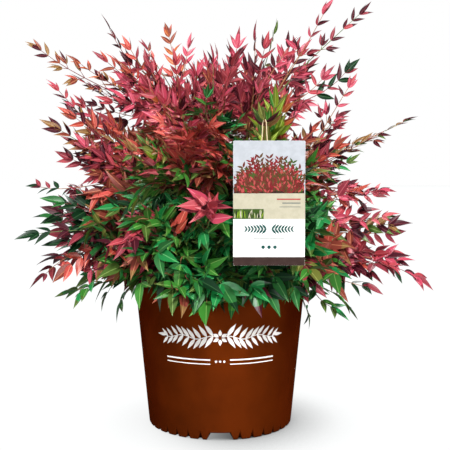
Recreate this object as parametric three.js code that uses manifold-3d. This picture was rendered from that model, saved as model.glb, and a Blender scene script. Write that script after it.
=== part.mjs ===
// A heavenly bamboo in its nursery pot, in millimetres, +Z up. The origin is at the centre of the pot's flat
// underside. The viewer's side, where the hang tag is, faces -Y. Canes rise from the soil and fork into boughs inside
// an open heart, and uneven masses of foliage, each with a lobe for every spray that stands out of it, close round
// that heart.
import * as THREE from "three";
import { mergeVertices } from "three/addons/utils/BufferGeometryUtils.js";
import Module from "manifold-3d";

const wasm = await Module();
wasm.setup();

// ---------------------------------------------------------------- driving dimensions

const GAP = 0.4; // kept between pieces that touch
const POT = {
  baseRadius: 99.5,
  rimRadius: 120, // outside of the wall, under the lip
  height: 216,
  wall: 1.8,
  floor: 3,
  lipHeight: 13,
  lipProud: 3,
  footHeight: 9, // the upright foot under the tapered wall
  segments: 36,
};
const SLOT = { count: 4, width: 31, height: 10, depth: 30 }; // drain slots through the foot
const SOIL = { top: 192, crownDrop: 5, segments: 18 }; // flat round the stems, then falling to the wall

const HEART = new THREE.Vector3(0, 0, 235); // the sprays seem to radiate from here
// The open heart, as a profile of [radius, height] from the soil up: stems and boughs stay inside it.
const HEART_PROFILE = [
  [80, SOIL.top - 6],
  [88, 248],
  [86, 312],
  [68, 366],
  [34, 402],
];

const CANES = {
  count: 7,
  footRing: 30, // the ring on the soil that the outer canes stand on
  footRadius: 5.6,
  topRadius: 3,
  flare: 1.7, // how much wider the root flare is than the cane
  flareHeight: 14,
  lean: 24, // how far out the outer canes' tops stand from their feet
  top: 392,
  sides: 7,
  steps: 5,
};
const BOUGH = { footRadius: 2.6, tipRadius: 1.5, sides: 5, steps: 4 };

// One ring of foliage masses each: how many, how high above the heart's level they point, how far out their centres
// are, the bearing of the first, and half sizes outward, sideways and upward. The fork is how far up its cane a
// mass's bough springs; the top masses sit on the canes themselves.
const TIERS = [
  { name: "droop", count: 7, elevation: -18, distance: 152, first: 12, half: [72, 84, 56], fork: 0.2 },
  { name: "waist", count: 7, elevation: 11, distance: 158, first: 38, half: [74, 86, 58], fork: 0.34 },
  { name: "shoulder", count: 6, elevation: 38, distance: 190, first: 0, half: [88, 98, 72], fork: 0.48 },
  { name: "top", count: 5, elevation: 66, distance: 214, first: 30, half: [84, 76, 72] },
];
const MASS_DETAIL = 2; // subdivisions of the icosahedron that a mass is shaped from

// The crown's outline on its two sides, as [elevation in degrees, reach from the heart]: a long spray ends at each.
const OUTLINE = {
  right: [
    [-42, 178],
    [-25, 199],
    [-10, 295],
    [0, 269],
    [10, 261],
    [20, 252],
    [31, 205],
    [35, 334],
    [47, 275],
    [54, 330],
    [59, 384],
    [67, 371],
    [77, 332],
    [88, 288],
  ],
  left: [
    [-33, 180],
    [-25, 200],
    [-11, 262],
    [9, 274],
    [19, 292],
    [31, 266],
    [45, 329],
    [48, 384],
    [53, 342],
    [64, 366],
    [69, 325],
    [77, 332],
    [88, 298],
  ],
};
const CROWN = {
  depthShare: 0.86, // how far the crown reaches to the front and back, against its sides
  sprayTurn: 22, // how far a long spray may turn from the side it belongs to
  lobes: 6, // on each mass
  lobeSpread: 0.66, // between neighbouring lobes, as a share of a mass's half width
  lobeReach: [0.82, 0.97], // as shares of the outline
  lobeWidth: 17, // in degrees, seen from the mass's centre
  lobeRoot: 0.93, // how full a lobe is close to its tip
  unevenness: 0.09,
  seed: 11,
};

const TAG = {
  width: 79,
  height: 137,
  thickness: 0.9,
  corner: 1.5, // rounding of its corners
  x: 53.8,
  y: -232,
  top: 378,
  clearance: 4, // kept free of foliage round it
};
// The strap that the tag hangs by: an upright ring whose foot is held flat against the card's back.
const LOOP = {
  width: 5.4,
  rise: 24, // over the card's top edge
  drop: 9, // behind the card
  offset: -5.2, // to the side of the card's middle
  gap: 0.3, // between strap and card
  thickness: 1.2,
  sides: 6,
  steps: 16,
  joint: 0.012,
};

const COLOURS = {
  pot: 0x6b2a16,
  soil: 0x2e2019,
  cane: 0x6f5638,
  bough: 0x7a5a3c,
  droop: 0x2c6a33,
  waist: 0x7c4a2c,
  shoulder: 0xa83a44,
  top: 0xb83558,
  card: 0xf2efe8,
  loop: 0xd9b98a,
};

// ---------------------------------------------------------------- helpers

// A seeded random number from 0 to 1.
function randomFrom(seed) {
  let state = seed >>> 0;
  return () => {
    state = (state + 0x6d2b79f5) >>> 0;
    let t = Math.imul(state ^ (state >>> 15), 1 | state);
    t = (t + Math.imul(t ^ (t >>> 7), 61 | t)) ^ t;
    return ((t ^ (t >>> 14)) >>> 0) / 4294967296;
  };
}
const random = randomFrom(CROWN.seed);
const between = (low, high) => low + (high - low) * random();

// The value at x of a curve through [x, value] pairs, straight between them and level past its ends.
function along(pairs, x) {
  const next = pairs.findIndex(([at]) => at >= x);
  if (next === 0) return pairs[0][1];
  if (next < 0) return pairs[pairs.length - 1][1];
  const [[x0, v0], [x1, v1]] = [pairs[next - 1], pairs[next]];
  return v0 + ((v1 - v0) * (x - x0)) / (x1 - x0);
}

// The direction of a bearing round +Z from +X and an elevation above the horizon, both in degrees.
function direction(bearing, elevation) {
  const b = THREE.MathUtils.degToRad(bearing);
  const e = THREE.MathUtils.degToRad(elevation);
  return new THREE.Vector3(Math.cos(b) * Math.cos(e), Math.sin(b) * Math.cos(e), Math.sin(e));
}
const fromHeart = (bearing, elevation, distance) =>
  direction(bearing, elevation).multiplyScalar(distance).add(HEART);

// The crown's reach in any direction: the right and left outlines blended round it, and drawn in at front and back.
function reachOf(bearing, elevation) {
  const b = THREE.MathUtils.degToRad(bearing);
  const right = (1 + Math.cos(b)) / 2;
  const sides = along(OUTLINE.right, elevation) * right + along(OUTLINE.left, elevation) * (1 - right);
  return sides * (1 - (1 - CROWN.depthShare) * Math.sin(b) ** 2);
}

function solidOf(geometry) {
  const bare = new THREE.BufferGeometry().setAttribute("position", geometry.getAttribute("position").clone());
  if (geometry.index) bare.setIndex(geometry.index.clone());
  const merged = mergeVertices(bare, 1e-3);
  return new wasm.Manifold(
    new wasm.Mesh({
      numProp: 3,
      vertProperties: merged.getAttribute("position").array,
      triVerts: new Uint32Array(merged.index.array),
    }),
  );
}

function geometryOf(solid) {
  const made = solid.getMesh();
  const geometry = new THREE.BufferGeometry();
  geometry.setAttribute("position", new THREE.BufferAttribute(made.vertProperties, 3));
  geometry.setIndex(new THREE.BufferAttribute(made.triVerts, 1));
  geometry.computeVertexNormals();
  return geometry;
}

// The largest body of a solid that a cut may have left in pieces.
const largest = (solid) =>
  solid.decompose().reduce((best, body) => (body.volume() > best.volume() ? body : best));

// A lathe about +Z from [radius, height] pairs that start and end on the axis.
function turned(profile, segments) {
  const points = profile.map(([radius, height]) => new THREE.Vector2(radius, height));
  return new THREE.LatheGeometry(points, segments).rotateX(Math.PI / 2);
}

function box(sizes, centre) {
  return new THREE.BoxGeometry(...sizes).translate(...centre);
}

// A cylinder bent along a curve, its radius at each share of the way given by radiusAt.
function limb(curve, radiusAt, sides, steps) {
  const geometry = new THREE.CylinderGeometry(1, 1, 1, sides, steps);
  const frames = curve.computeFrenetFrames(steps);
  const position = geometry.getAttribute("position");
  const at = new THREE.Vector3();
  for (let i = 0; i < position.count; i++) {
    at.fromBufferAttribute(position, i);
    const share = at.y + 0.5;
    const ring = Math.round(share * steps);
    const point = curve
      .getPoint(share)
      .addScaledVector(frames.normals[ring], at.z * radiusAt(share))
      .addScaledVector(frames.binormals[ring], at.x * radiusAt(share));
    position.setXYZ(i, point.x, point.y, point.z);
  }
  return geometry;
}

const plant = new THREE.Group();

function add(name, geometry, colour, roughness = 0.7) {
  const material = new THREE.MeshStandardMaterial({ color: colour, roughness, metalness: 0 });
  const mesh = new THREE.Mesh(geometry, material);
  mesh.name = name;
  plant.add(mesh);
}

// ---------------------------------------------------------------- pot and soil

// The wall's outer radius at a height.
const potRadius = (height) => {
  const share = Math.max(0, height - POT.footHeight) / (POT.height - POT.footHeight);
  return POT.baseRadius + (POT.rimRadius - POT.baseRadius) * share;
};

function drainSlots() {
  const radial = SLOT.depth + 4;
  return Array.from({ length: SLOT.count }, (_, k) => {
    const slot = box(
      [radial, SLOT.width, SLOT.height * 2],
      [POT.baseRadius - SLOT.depth + radial / 2, 0, 0],
    ).rotateZ((2 * Math.PI * k) / SLOT.count);
    return solidOf(slot);
  });
}

function pot() {
  const lipBottom = POT.height - POT.lipHeight;
  const inside = (height) => potRadius(height) - POT.wall;
  const lip = POT.rimRadius + POT.lipProud;
  const shell = turned(
    [
      [0, 0],
      [POT.baseRadius - 1.5, 0],
      [POT.baseRadius, 1.5],
      [POT.baseRadius, POT.footHeight],
      [potRadius(lipBottom), lipBottom],
      [lip, lipBottom + 1.5],
      [lip, POT.height - 1],
      [lip - 1, POT.height],
      [lip - 3, POT.height],
      [inside(lipBottom), lipBottom],
      [inside(POT.footHeight), POT.footHeight],
      [inside(POT.floor), POT.floor],
      [0, POT.floor],
    ],
    POT.segments,
  );
  return drainSlots().reduce((solid, slot) => solid.subtract(slot), solidOf(shell));
}

// Potting mix up to a flat top round the stems, stopping just inside the wall and above the slots.
function soil() {
  const edge = (height) => potRadius(height) - POT.wall - GAP;
  const foot = SLOT.height + GAP;
  return turned(
    [
      [0, POT.floor + GAP],
      [POT.baseRadius - SLOT.depth - GAP - 2, POT.floor + GAP],
      [POT.baseRadius - SLOT.depth - GAP - 2, foot],
      [edge(foot), foot],
      [edge(SOIL.top - SOIL.crownDrop), SOIL.top - SOIL.crownDrop],
      [CANES.footRing + 25, SOIL.top],
      [0, SOIL.top],
    ],
    SOIL.segments,
  );
}

// What foliage keeps clear of: the pot's whole outside, as one solid.
function potEnvelope() {
  return solidOf(
    turned(
      [
        [0, -5],
        [POT.baseRadius + GAP, -5],
        [POT.baseRadius + GAP, POT.footHeight],
        [POT.rimRadius + GAP, POT.height - POT.lipHeight],
        [POT.rimRadius + POT.lipProud + GAP, POT.height - POT.lipHeight],
        [POT.rimRadius + POT.lipProud + GAP, POT.height + GAP],
        [0, POT.height + GAP],
      ],
      POT.segments,
    ),
  );
}

// The open heart, shrunk or grown by an offset on its sides and top.
function heart(offset) {
  const sides = HEART_PROFILE.map(([radius, height], k) => [radius + offset, height + (k ? offset : 0)]);
  const [, bottom] = HEART_PROFILE[0];
  const [, top] = HEART_PROFILE[HEART_PROFILE.length - 1];
  return solidOf(turned([[0, bottom], ...sides, [0, top + offset + 2]], 20));
}

// ---------------------------------------------------------------- hang tag

const tagCentre = [TAG.x, TAG.y, TAG.top - TAG.height / 2];
const loopFoot = new THREE.Vector3(
  TAG.x + LOOP.offset,
  TAG.y + (TAG.thickness + LOOP.thickness) / 2 + LOOP.gap,
  TAG.top - LOOP.drop,
);

function tagCard() {
  const [w, h, corner] = [TAG.width / 2, TAG.height / 2, TAG.corner];
  const outline = new THREE.Shape()
    .moveTo(-w + corner, -h)
    .lineTo(w - corner, -h)
    .absarc(w - corner, -h + corner, corner, -Math.PI / 2, 0)
    .lineTo(w, h - corner)
    .absarc(w - corner, h - corner, corner, 0, Math.PI / 2)
    .lineTo(-w + corner, h)
    .absarc(-w + corner, h - corner, corner, Math.PI / 2, Math.PI)
    .lineTo(-w, -h + corner)
    .absarc(-w + corner, -h + corner, corner, Math.PI, 1.5 * Math.PI);
  return new THREE.ExtrudeGeometry(outline, { depth: TAG.thickness, bevelEnabled: false, curveSegments: 3 })
    .translate(0, 0, -TAG.thickness / 2)
    .rotateX(Math.PI / 2)
    .translate(...tagCentre);
}

// One turn of strap, behind the card and over the stalk that holds the tag. Its ends all but meet at the top.
function tagLoop() {
  const [half, rise] = [LOOP.width / 2, LOOP.rise + LOOP.drop];
  const rounded = [
    [0, rise],
    [half * 0.6, rise - half],
    [half * 0.9, rise / 2],
    [half, half],
    [0, 0],
    [-half, half],
    [-half * 0.9, rise / 2],
    [-half * 0.6, rise - half],
  ];
  const ring = new THREE.CatmullRomCurve3(
    rounded.map(([across, up]) => new THREE.Vector3(across, 0, up).add(loopFoot)),
    true,
  );
  const open = new THREE.CatmullRomCurve3(
    Array.from({ length: LOOP.steps + 1 }, (_, k) =>
      ring.getPointAt(LOOP.joint + ((1 - 2 * LOOP.joint) * k) / LOOP.steps),
    ),
  );
  const section = new THREE.Shape().absellipse(0, 0, LOOP.thickness / 2, LOOP.thickness / 2, 0, 2 * Math.PI);
  return new THREE.ExtrudeGeometry(section, {
    steps: LOOP.steps,
    curveSegments: LOOP.sides / 2,
    extrudePath: open,
  });
}

// The room that foliage leaves for the tag and its loop, open towards the viewer.
function tagRoom() {
  const deep = 60;
  const back = TAG.y + TAG.clearance;
  const room = (x, width, bottom, top) =>
    solidOf(box([width + 2 * TAG.clearance, deep, top - bottom], [x, back - deep / 2, (bottom + top) / 2]));
  const card = room(TAG.x, TAG.width, TAG.top - TAG.height - TAG.clearance, TAG.top + TAG.clearance);
  const loop = room(loopFoot.x, LOOP.width, TAG.top, TAG.top + LOOP.rise + TAG.clearance);
  return card.add(loop);
}

// ---------------------------------------------------------------- stems and boughs

const caneBearing = (k) => (360 * (k - 1)) / (CANES.count - 1) + 20;

// Cane 0 stands in the middle, and the others round it, leaning outwards and curving back up.
function caneCurve(k) {
  const out = k === 0 ? new THREE.Vector3() : direction(caneBearing(k), 0);
  const foot = out.clone().multiplyScalar(CANES.footRing * (0.84 + 0.16 * (k % 2)));
  const lean = k === 0 ? 0 : CANES.lean;
  const ground = SOIL.top + GAP;
  const rise = CANES.top - ground;
  const bend = new THREE.Vector3(k % 2 ? 3 : -3, k % 3 ? 4 : -4, 0);
  return new THREE.CatmullRomCurve3(
    [0, 0.3, 0.65, 1].map((share) =>
      foot
        .clone()
        .addScaledVector(out, lean * share ** 1.4)
        .addScaledVector(bend, Math.sin(Math.PI * share))
        .setZ(ground + rise * share),
    ),
  );
}

const caneRadius = (share) => {
  const height = share * (CANES.top - SOIL.top);
  const flare = 1 + (CANES.flare - 1) * Math.exp(-height / (CANES.flareHeight / 2));
  return (CANES.footRadius + (CANES.topRadius - CANES.footRadius) * share) * flare;
};

// A cane with its foot cut level at the soil and its head stopped just short of the masses.
function cane(k) {
  const room = heart(-GAP);
  const ground = [0, 0, 1];
  return largest(solidOf(limb(caneCurve(k), caneRadius, CANES.sides, CANES.steps)).intersect(room)).trimByPlane(
    ground,
    SOIL.top + GAP,
  );
}

// A bough from a cane out to the heart's edge, in the direction of a mass.
function boughCurve(caneNumber, share, target) {
  const start = caneCurve(caneNumber).getPoint(share);
  const out = target.clone().sub(start);
  const middle = start.clone().addScaledVector(out, 0.45);
  middle.z += out.length() * 0.1;
  return new THREE.QuadraticBezierCurve3(start, middle, target);
}

const boughRadius = (share) => BOUGH.footRadius + (BOUGH.tipRadius - BOUGH.footRadius) * share;

// ---------------------------------------------------------------- masses of foliage

const massPlan = TIERS.flatMap((tier) =>
  Array.from({ length: tier.count }, (_, k) => {
    const bearing = tier.first + (360 * k) / tier.count + between(-5, 5);
    const elevation = tier.elevation + between(-4, 4);
    return {
      tier,
      name: `${tier.name}_${k + 1}`,
      bearing,
      elevation,
      centre: fromHeart(bearing, elevation, tier.distance * between(0.96, 1.04)),
      tips: [],
    };
  }),
);

const nearest = (point) =>
  massPlan.reduce((best, mass) =>
    mass.centre.distanceTo(point) < best.centre.distanceTo(point) ? mass : best,
  );

// Each mass gets one lobe straight out and a rosette of them round it. The long sprays of the outline then go to
// whichever mass is nearest.
function plantTips() {
  const plantTip = (tip) => nearest(tip).tips.push(tip);
  for (const { tier, bearing, elevation } of massPlan) {
    const halfWay = 180 / tier.count;
    for (let k = 0; k < CROWN.lobes; k++) {
      const turn = (2 * Math.PI * k) / (CROWN.lobes - 1) + between(-0.4, 0.4);
      const away = k === 0 ? 0 : CROWN.lobeSpread * between(0.8, 1.25);
      const rise = elevation + halfWay * away * Math.sin(turn) * 0.8;
      const toSide = bearing + halfWay * away * Math.cos(turn);
      plantTip(fromHeart(toSide, rise, reachOf(toSide, rise) * between(...CROWN.lobeReach)));
    }
  }
  for (const [side, facing] of [["right", 0], ["left", 180]]) {
    for (const [elevation, reach] of OUTLINE[side]) {
      const turn = between(-CROWN.sprayTurn, CROWN.sprayTurn);
      const spray = direction(elevation, 0).multiplyScalar(reach); // x outward, y upward
      const outward = spray.x / Math.cos(THREE.MathUtils.degToRad(turn));
      plantTip(fromHeart(facing + turn, 0, outward).setZ(HEART.z + spray.y));
    }
  }
}

// An uneven ball, longer sideways than upward, drawn out into a lobe towards each of its tips.
function lump({ tier, bearing, elevation, centre, tips }) {
  const ball = new THREE.IcosahedronGeometry(1, MASS_DETAIL);
  const geometry = mergeVertices(
    new THREE.BufferGeometry().setAttribute("position", ball.getAttribute("position")),
    1e-4,
  );
  const out = direction(bearing, elevation);
  const side = new THREE.Vector3(0, 0, 1).cross(out).normalize();
  const up = out.clone().cross(side);
  const basis = new THREE.Matrix4().makeBasis(out, side, up);
  const lobeWidth = THREE.MathUtils.degToRad(CROWN.lobeWidth);
  const position = geometry.getAttribute("position");
  const spokes = Array.from({ length: position.count }, (_, i) => {
    const unit = new THREE.Vector3().fromBufferAttribute(position, i);
    const spoke = unit.multiply(new THREE.Vector3(...tier.half)).applyMatrix4(basis);
    return spoke.multiplyScalar(1 + between(-CROWN.unevenness, CROWN.unevenness));
  });
  const taken = new Set();
  for (const tip of tips) {
    const arm = tip.clone().sub(centre);
    for (const spoke of spokes) {
      const pull = Math.exp(-((spoke.angleTo(arm) / lobeWidth) ** 2));
      const drawn = spoke.length() * (1 - pull) + arm.length() * pull * CROWN.lobeRoot;
      spoke.setLength(Math.max(spoke.length(), drawn));
    }
    const closest = spokes
      .filter((spoke) => !taken.has(spoke))
      .reduce((best, spoke) => (spoke.angleTo(arm) < best.angleTo(arm) ? spoke : best));
    taken.add(closest.copy(arm));
  }
  spokes.forEach((spoke, i) => position.setXYZ(i, ...spoke.add(centre).toArray()));
  return solidOf(geometry);
}

// The lump cut back to the room that is nearer to its own centre than to any neighbour's.
function cell(mass) {
  return massPlan.reduce((solid, other) => {
    if (other === mass) return solid;
    const normal = mass.centre.clone().sub(other.centre).normalize();
    const middle = mass.centre.clone().add(other.centre).multiplyScalar(0.5);
    return solid.trimByPlane(normal.toArray(), normal.dot(middle) + GAP / 2);
  }, lump(mass));
}

// ---------------------------------------------------------------- the whole plant

add("pot", geometryOf(pot()), COLOURS.pot, 0.4);
add("soil", soil(), COLOURS.soil, 0.95);

const canes = Array.from({ length: CANES.count }, (_, k) => cane(k));
canes.forEach((solid, k) => add(`cane_${k + 1}`, geometryOf(solid), COLOURS.cane));

plantTips();
const open = heart(0);
const envelope = potEnvelope();
const room = tagRoom();

for (const mass of massPlan) {
  const solid = largest(cell(mass).subtract(open).subtract(envelope).subtract(room));
  add(`foliage_${mass.name}`, geometryOf(solid), COLOURS[mass.tier.name], 0.8);
}

// Each mass but the top ones, which the canes reach, is carried by a bough from the cane nearest to its bearing.
const grown = canes.map((solid, k) => solidOf(limb(caneCurve(k), (s) => caneRadius(s) + GAP, CANES.sides, CANES.steps)));
const boughRoom = heart(-GAP);
for (const mass of massPlan.filter(({ tier }) => tier.fork)) {
  const turn = (k) => Math.abs(((caneBearing(k) - mass.bearing + 540) % 360) - 180);
  const near = canes.map((_, k) => k).slice(1).reduce((best, k) => (turn(k) < turn(best) ? k : best));
  const share = mass.tier.fork + between(-0.04, 0.04);
  const curve = boughCurve(near, share, mass.centre);
  const raw = solidOf(limb(curve, boughRadius, BOUGH.sides, BOUGH.steps)).intersect(boughRoom);
  const clear = grown.reduce((solid, other) => solid.subtract(other), raw);
  const bough = largest(clear);
  add(`bough_${mass.name}`, geometryOf(bough), COLOURS.bough);
  grown.push(solidOf(limb(curve, (s) => boughRadius(s) + GAP, BOUGH.sides, BOUGH.steps)));
}

add("tag_card", tagCard(), COLOURS.card, 0.5);
add("tag_loop", tagLoop(), COLOURS.loop, 0.6);

export default plant;
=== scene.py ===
"""The looks of a heavenly bamboo in its nursery pot, in metres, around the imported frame.

The pot, the potting mix, the stems and the tag are modelled surfaces. The crown is grown: twigs carry on
from the boughs into each mass of foliage, and compound leaves spring from the twigs and reach out to the
skin of that mass.
"""

import math

import bpy
import numpy as np
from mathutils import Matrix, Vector


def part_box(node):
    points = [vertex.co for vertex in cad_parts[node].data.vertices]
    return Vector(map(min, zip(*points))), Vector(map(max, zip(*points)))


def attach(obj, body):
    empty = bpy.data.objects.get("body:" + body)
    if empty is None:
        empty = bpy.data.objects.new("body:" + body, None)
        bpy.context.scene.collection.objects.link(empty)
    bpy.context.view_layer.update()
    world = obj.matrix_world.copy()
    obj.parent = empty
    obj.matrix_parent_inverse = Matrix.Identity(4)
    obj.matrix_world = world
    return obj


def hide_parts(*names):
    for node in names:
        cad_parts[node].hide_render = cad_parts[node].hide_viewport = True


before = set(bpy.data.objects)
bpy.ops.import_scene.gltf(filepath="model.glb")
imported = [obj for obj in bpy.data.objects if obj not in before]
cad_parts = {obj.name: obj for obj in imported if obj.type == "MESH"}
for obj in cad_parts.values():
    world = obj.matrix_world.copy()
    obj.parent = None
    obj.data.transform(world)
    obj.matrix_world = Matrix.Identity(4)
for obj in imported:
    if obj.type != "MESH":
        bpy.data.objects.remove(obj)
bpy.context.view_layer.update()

# ---------------------------------------------------------------- driving values

MM = 0.001
SEED = 7
UP = np.array([0.0, 0.0, 1.0])

POT_LOW, POT_HIGH = (np.array(corner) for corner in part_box("pot"))
SOIL_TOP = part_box("soil")[1][2]
HEART = np.array([0.0, 0.0, POT_HIGH[2] + 19 * MM])  # the sprays seem to radiate from here

POT = {
    "lip_radius": (POT_HIGH[0] - POT_LOW[0]) / 2,
    "rim_radius": 120 * MM,
    "foot_radius": 99.5 * MM,
    "underside": 98 * MM,
    "lip": 13 * MM,
    "wall": 1.8 * MM,
    "floor": 3 * MM,
    "foot": 3 * MM,
    "darts": 36,
    "dart_half": 3.6 * MM,
    "dart_depth": 4 * MM,
    "dart_rise": 13 * MM,
    "dart_lift": 4.5 * MM,
}
SLOT = {"count": 4, "half": 17.5 * MM, "height": 10 * MM, "depth": 30 * MM, "slope": 4 * MM}

LEAFLET = {
    "rows": (0.06, 0.18, 0.33, 0.48, 0.63, 0.78, 0.9),  # stations between the base and the tip
    "outline": (0.75, 1.35),  # powers by which it swells from its base and narrows to its tip
    "rib": 0.4 * MM,  # half width of the midrib
    "length": (29 * MM, 37 * MM),  # of the one at a spray's tip
    "slender": (0.118, 0.15),  # half width over length, high in the crown
    "low_width": 1.38,  # how much wider the leaflets are low in the crown
}
PRINT = {
    "sunk": 0.05 * MM,  # of a printed layer's underside into what it is printed on
    "ground": 0.1 * MM,  # how far a panel of colour stands proud
    "inset": 0.06 * MM,  # of a panel's edges from the card's
    "motif": (0.16 * MM, 0.55 * MM),  # and the motifs on it, each a little prouder than the last
    "on_pot": 0.14 * MM,
}
GARLAND = {
    "height": 136 * MM,
    "reach": 80 * MM,  # to each side
    "wave": 2.2 * MM,  # of its stem, up and down
    "pairs": 9,
    "leaf": 20 * MM,
    "half": 2.7 * MM,  # half width of its longest leaves
}
FLOWER = {"petals": 6, "radius": 2.2 * MM, "length": 8 * MM, "half": 2.3 * MM}  # in the garland's middle
POT_RULES = ((107 * MM, 0.9 * MM), (101.5 * MM, 0.6 * MM))  # heights and half widths
# The card's panels from its top edge down: how much of the card's height each takes.
CARD_PANELS = {"picture": 0.42, "band": 0.206, "blank": 0.306, "foot": 0.068}
FAN = {"sprays": 25, "spread": 1.15, "longest": 62 * MM, "leaf": 8.4 * MM}  # in the card's picture
BANK = {"height": 27 * MM, "leaves": 420}  # of strewn leaves in front of the fan
PICTURE_INKS = ("crimson", "crimson", "rose", "brick", "bronze", "bronze", "forest", "moss")
GRASS_INKS = ("grass", "grass", "cream", "forest")
GRASS_BLADES = 46
CHIP_TINTS = {  # of the bark chips on the potting mix
    "brown": ((92, 58, 36), (70, 42, 28)),
    "dark": ((58, 36, 24), (44, 30, 20)),
    "tan": ((128, 90, 58), (98, 66, 42)),
    "black": ((38, 26, 20), (26, 19, 15)),
}
POINT_ROW = 4  # the row of a leaflet at which its point begins
LOW, HIGH = 220 * MM, 430 * MM  # heights between which the leaves change from the low to the high kind
LEAF_SIZE = (1.14, 0.92)  # low and high, as are the next two: how large the leaves are
PAIR_SPREAD = (1.25, 0.72)  # how wide the paired leaflets stand
ASTRAY = (0.75, 0.16)  # how far a leaf's end strays from its way
NODES_BACK = (0, 16 * MM, 36 * MM, 61 * MM, 92 * MM, 128 * MM)  # of a leaf's pairs, back from its last one
PINNA = (0, 0, 7 * MM, 20 * MM, 34 * MM, 46 * MM)  # stalk lengths of the side branches at those pairs
MIN_BRANCH = 6 * MM  # a side branch that would be shorter is a single leaflet
BARE_SHARE = 0.22  # of a leaf's stalk, from the twig, without side branches
STALKS = {"main": (1.05 * MM, 0.38 * MM), "side": (0.5 * MM, 0.3 * MM)}  # radius at the foot and the end
LEAF_SPACING = {"droop": 33 * MM, "waist": 34 * MM, "shoulder": 40 * MM, "top": 46 * MM}  # of leaf tips
# How near the heart those tips may be, as a share of the body's reach.
LEAST_REACH = {"droop": 0.74, "waist": 0.74, "shoulder": 0.74, "top": 0.84}
INNER_SPACING = {"droop": 44 * MM, "waist": 44 * MM, "shoulder": 60 * MM, "top": 100 * MM}  # of shaded leaves
GAP_TRIES = 1500
GAPS = (33 * MM, 44 * MM)  # between leaf tips low and high in the crown, past which another leaf grows
HEART_LEAVES = 70  # small shaded leaves on the canes themselves
MIN_LEAVES = 6  # on each mass
SKIN_POOL = 500  # points on a mass's skin from which its leaf tips are taken
GAP_REACH = (0.84, 1.0)  # of the leaves that close gaps, as shares of the body's
GAP_LOWEST = 0.72 * math.pi  # how far down from straight up gaps are closed
INNER_REACH = (0.5, 0.75)  # of the shaded leaves, as shares of the body's
INNER_LEVEL = 360 * MM  # below it they have the low shades
LOBE_SIDE, LOBE_TOP = 0.75, 0.85  # past these shares across and up, long sprays stand in for a mass's lobes
FRONT_HALF = 40 * MM  # how far back leaves still turn to the viewer's side

# The crown's close body: how far from the heart it reaches to the right and left, by elevation in degrees.
BODY_ELEVATIONS = (-45, -37, -29, -21, -13, -5, 3, 11, 19, 27, 35, 43, 51, 59, 67, 75, 83, 91)
BODY_RIGHT = (126, 112, 108, 112, 126, 144, 156, 166, 176, 188, 200, 208, 192, 194, 230, 266, 284, 286)
BODY_LEFT = (126, 110, 104, 110, 140, 186, 208, 212, 218, 226, 226, 216, 206, 244, 278, 276, 282, 284)
BODY_DEPTH = 1.13  # its reach to the front and back, against its sides
LOWEST = (168 * MM, 182 * MM)  # leaf tips in front of or behind the pot, and beside it

# Long sprays that stand out of the body at its two sides and on top: across, height, then the spray's tint.
LONG_SPRAYS = [
    (-149, 136, "leaf_green"), (-172, 145, "leaf_green"), (-205, 176, "deep_green"), (-225, 196, "brick"),
    (-257, 186, "crimson"), (-265, 217, "maroon"), (-269, 261, "maroon"), (-270, 285, "deep_green"),
    (-276, 329, "maroon"), (-227, 374, "crimson"), (-241, 418, "rust"), (-230, 470, "crimson"),
    (-257, 521, "rust"), (-208, 507, "orange"), (-174, 512, "brick"), (-161, 564, "wine"),
    (-115, 539, "brick"), (-77, 557, "orange"), (-40, 539, "cherry"), (-8, 532, "cherry"),
    (10, 523, "cherry"), (47, 546, "crimson"), (79, 557, "olive"), (145, 571, "cherry"), (197, 564, "wine"),
    (190, 505, "maroon"), (187, 480, "cherry"), (187, 437, "wine"), (275, 425, "bronze"),
    (194, 371, "leaf_green"), (173, 345, "deep_green"), (237, 321, "cherry"), (236, 293, "rose"),
    (258, 278, "bronze"), (268, 228, "cherry"), (286, 186, "crimson"), (222, 190, "maroon"),
    (180, 150, "leaf_green"), (131, 118, "deep_green"), (-100, 500, "crimson"), (-60, 512, "crimson"),
    (20, 500, "cherry"), (60, 505, "wine"), (98, 528, "cherry"), (120, 500, "crimson"),
    (-190, 440, "brick"), (-140, 480, "cherry"), (-25, 505, "crimson"), (-5, 495, "wine"),
    (35, 520, "crimson"), (176, 398, "brick"), (150, 402, "bronze"), (-150, 458, "crimson"),
    (-122, 472, "cherry"), (-172, 425, "brick"), (-192, 400, "crimson"), (-160, 392, "rust"),
    (-188, 355, "wine"), (-62, 478, "cherry"), (-30, 486, "crimson"), (-85, 488, "wine"),
    (-205, 372, "wine"), (-205, 455, "crimson"), (-214, 432, "rust"), (-182, 468, "wine"),
    (-166, 448, "crimson"), (-214, 398, "crimson"), (-172, 380, "wine"), (-45, 498, "cherry"),
    (-92, 505, "crimson"), (-250, 262, "maroon"), (215, 300, "crimson"), (222, 262, "brick"),
    (205, 330, "wine"), (-12, 514, "cherry"), (6, 508, "crimson"), (-244, 240, "deep_green"),
    (-28, 506, "cherry"), (-5, 500, "crimson"), (12, 494, "cherry"), (-18, 488, "brick"),
    (130, 505, "cherry"), (-250, 300, "maroon"), (-240, 312, "night_green"), (-232, 290, "night_green"),
    (232, 225, "cherry"), (140, 420, "rust"), (124, 526, "cherry"), (107, 534, "cherry"),
    (28, 538, "cherry"), (64, 528, "crimson"), (140, 512, "maroon"), (156, 492, "cherry"),
    (52, 512, "cherry"), (-120, 506, "cherry"), (-105, 520, "crimson"), (-132, 490, "brick"),
    (-136, 508, "crimson"), (-146, 502, "orange"), (-128, 524, "brick"), (-24, 522, "cherry"),
    (-6, 512, "crimson"), (10, 506, "cherry"), (-16, 498, "wine"), (-176, 490, "rust"),
    (-200, 482, "crimson"), (222, 398, "bronze"), (205, 402, "bronze"), (170, 420, "crimson"),
    (160, 410, "wine"), (-222, 452, "maroon"), (-196, 450, "wine"), (-238, 250, "maroon"),
    (-250, 270, "night_green"),
]
LONG_SPRAY_DEPTH = 70 * MM  # how far to the front or back one may stand
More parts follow.
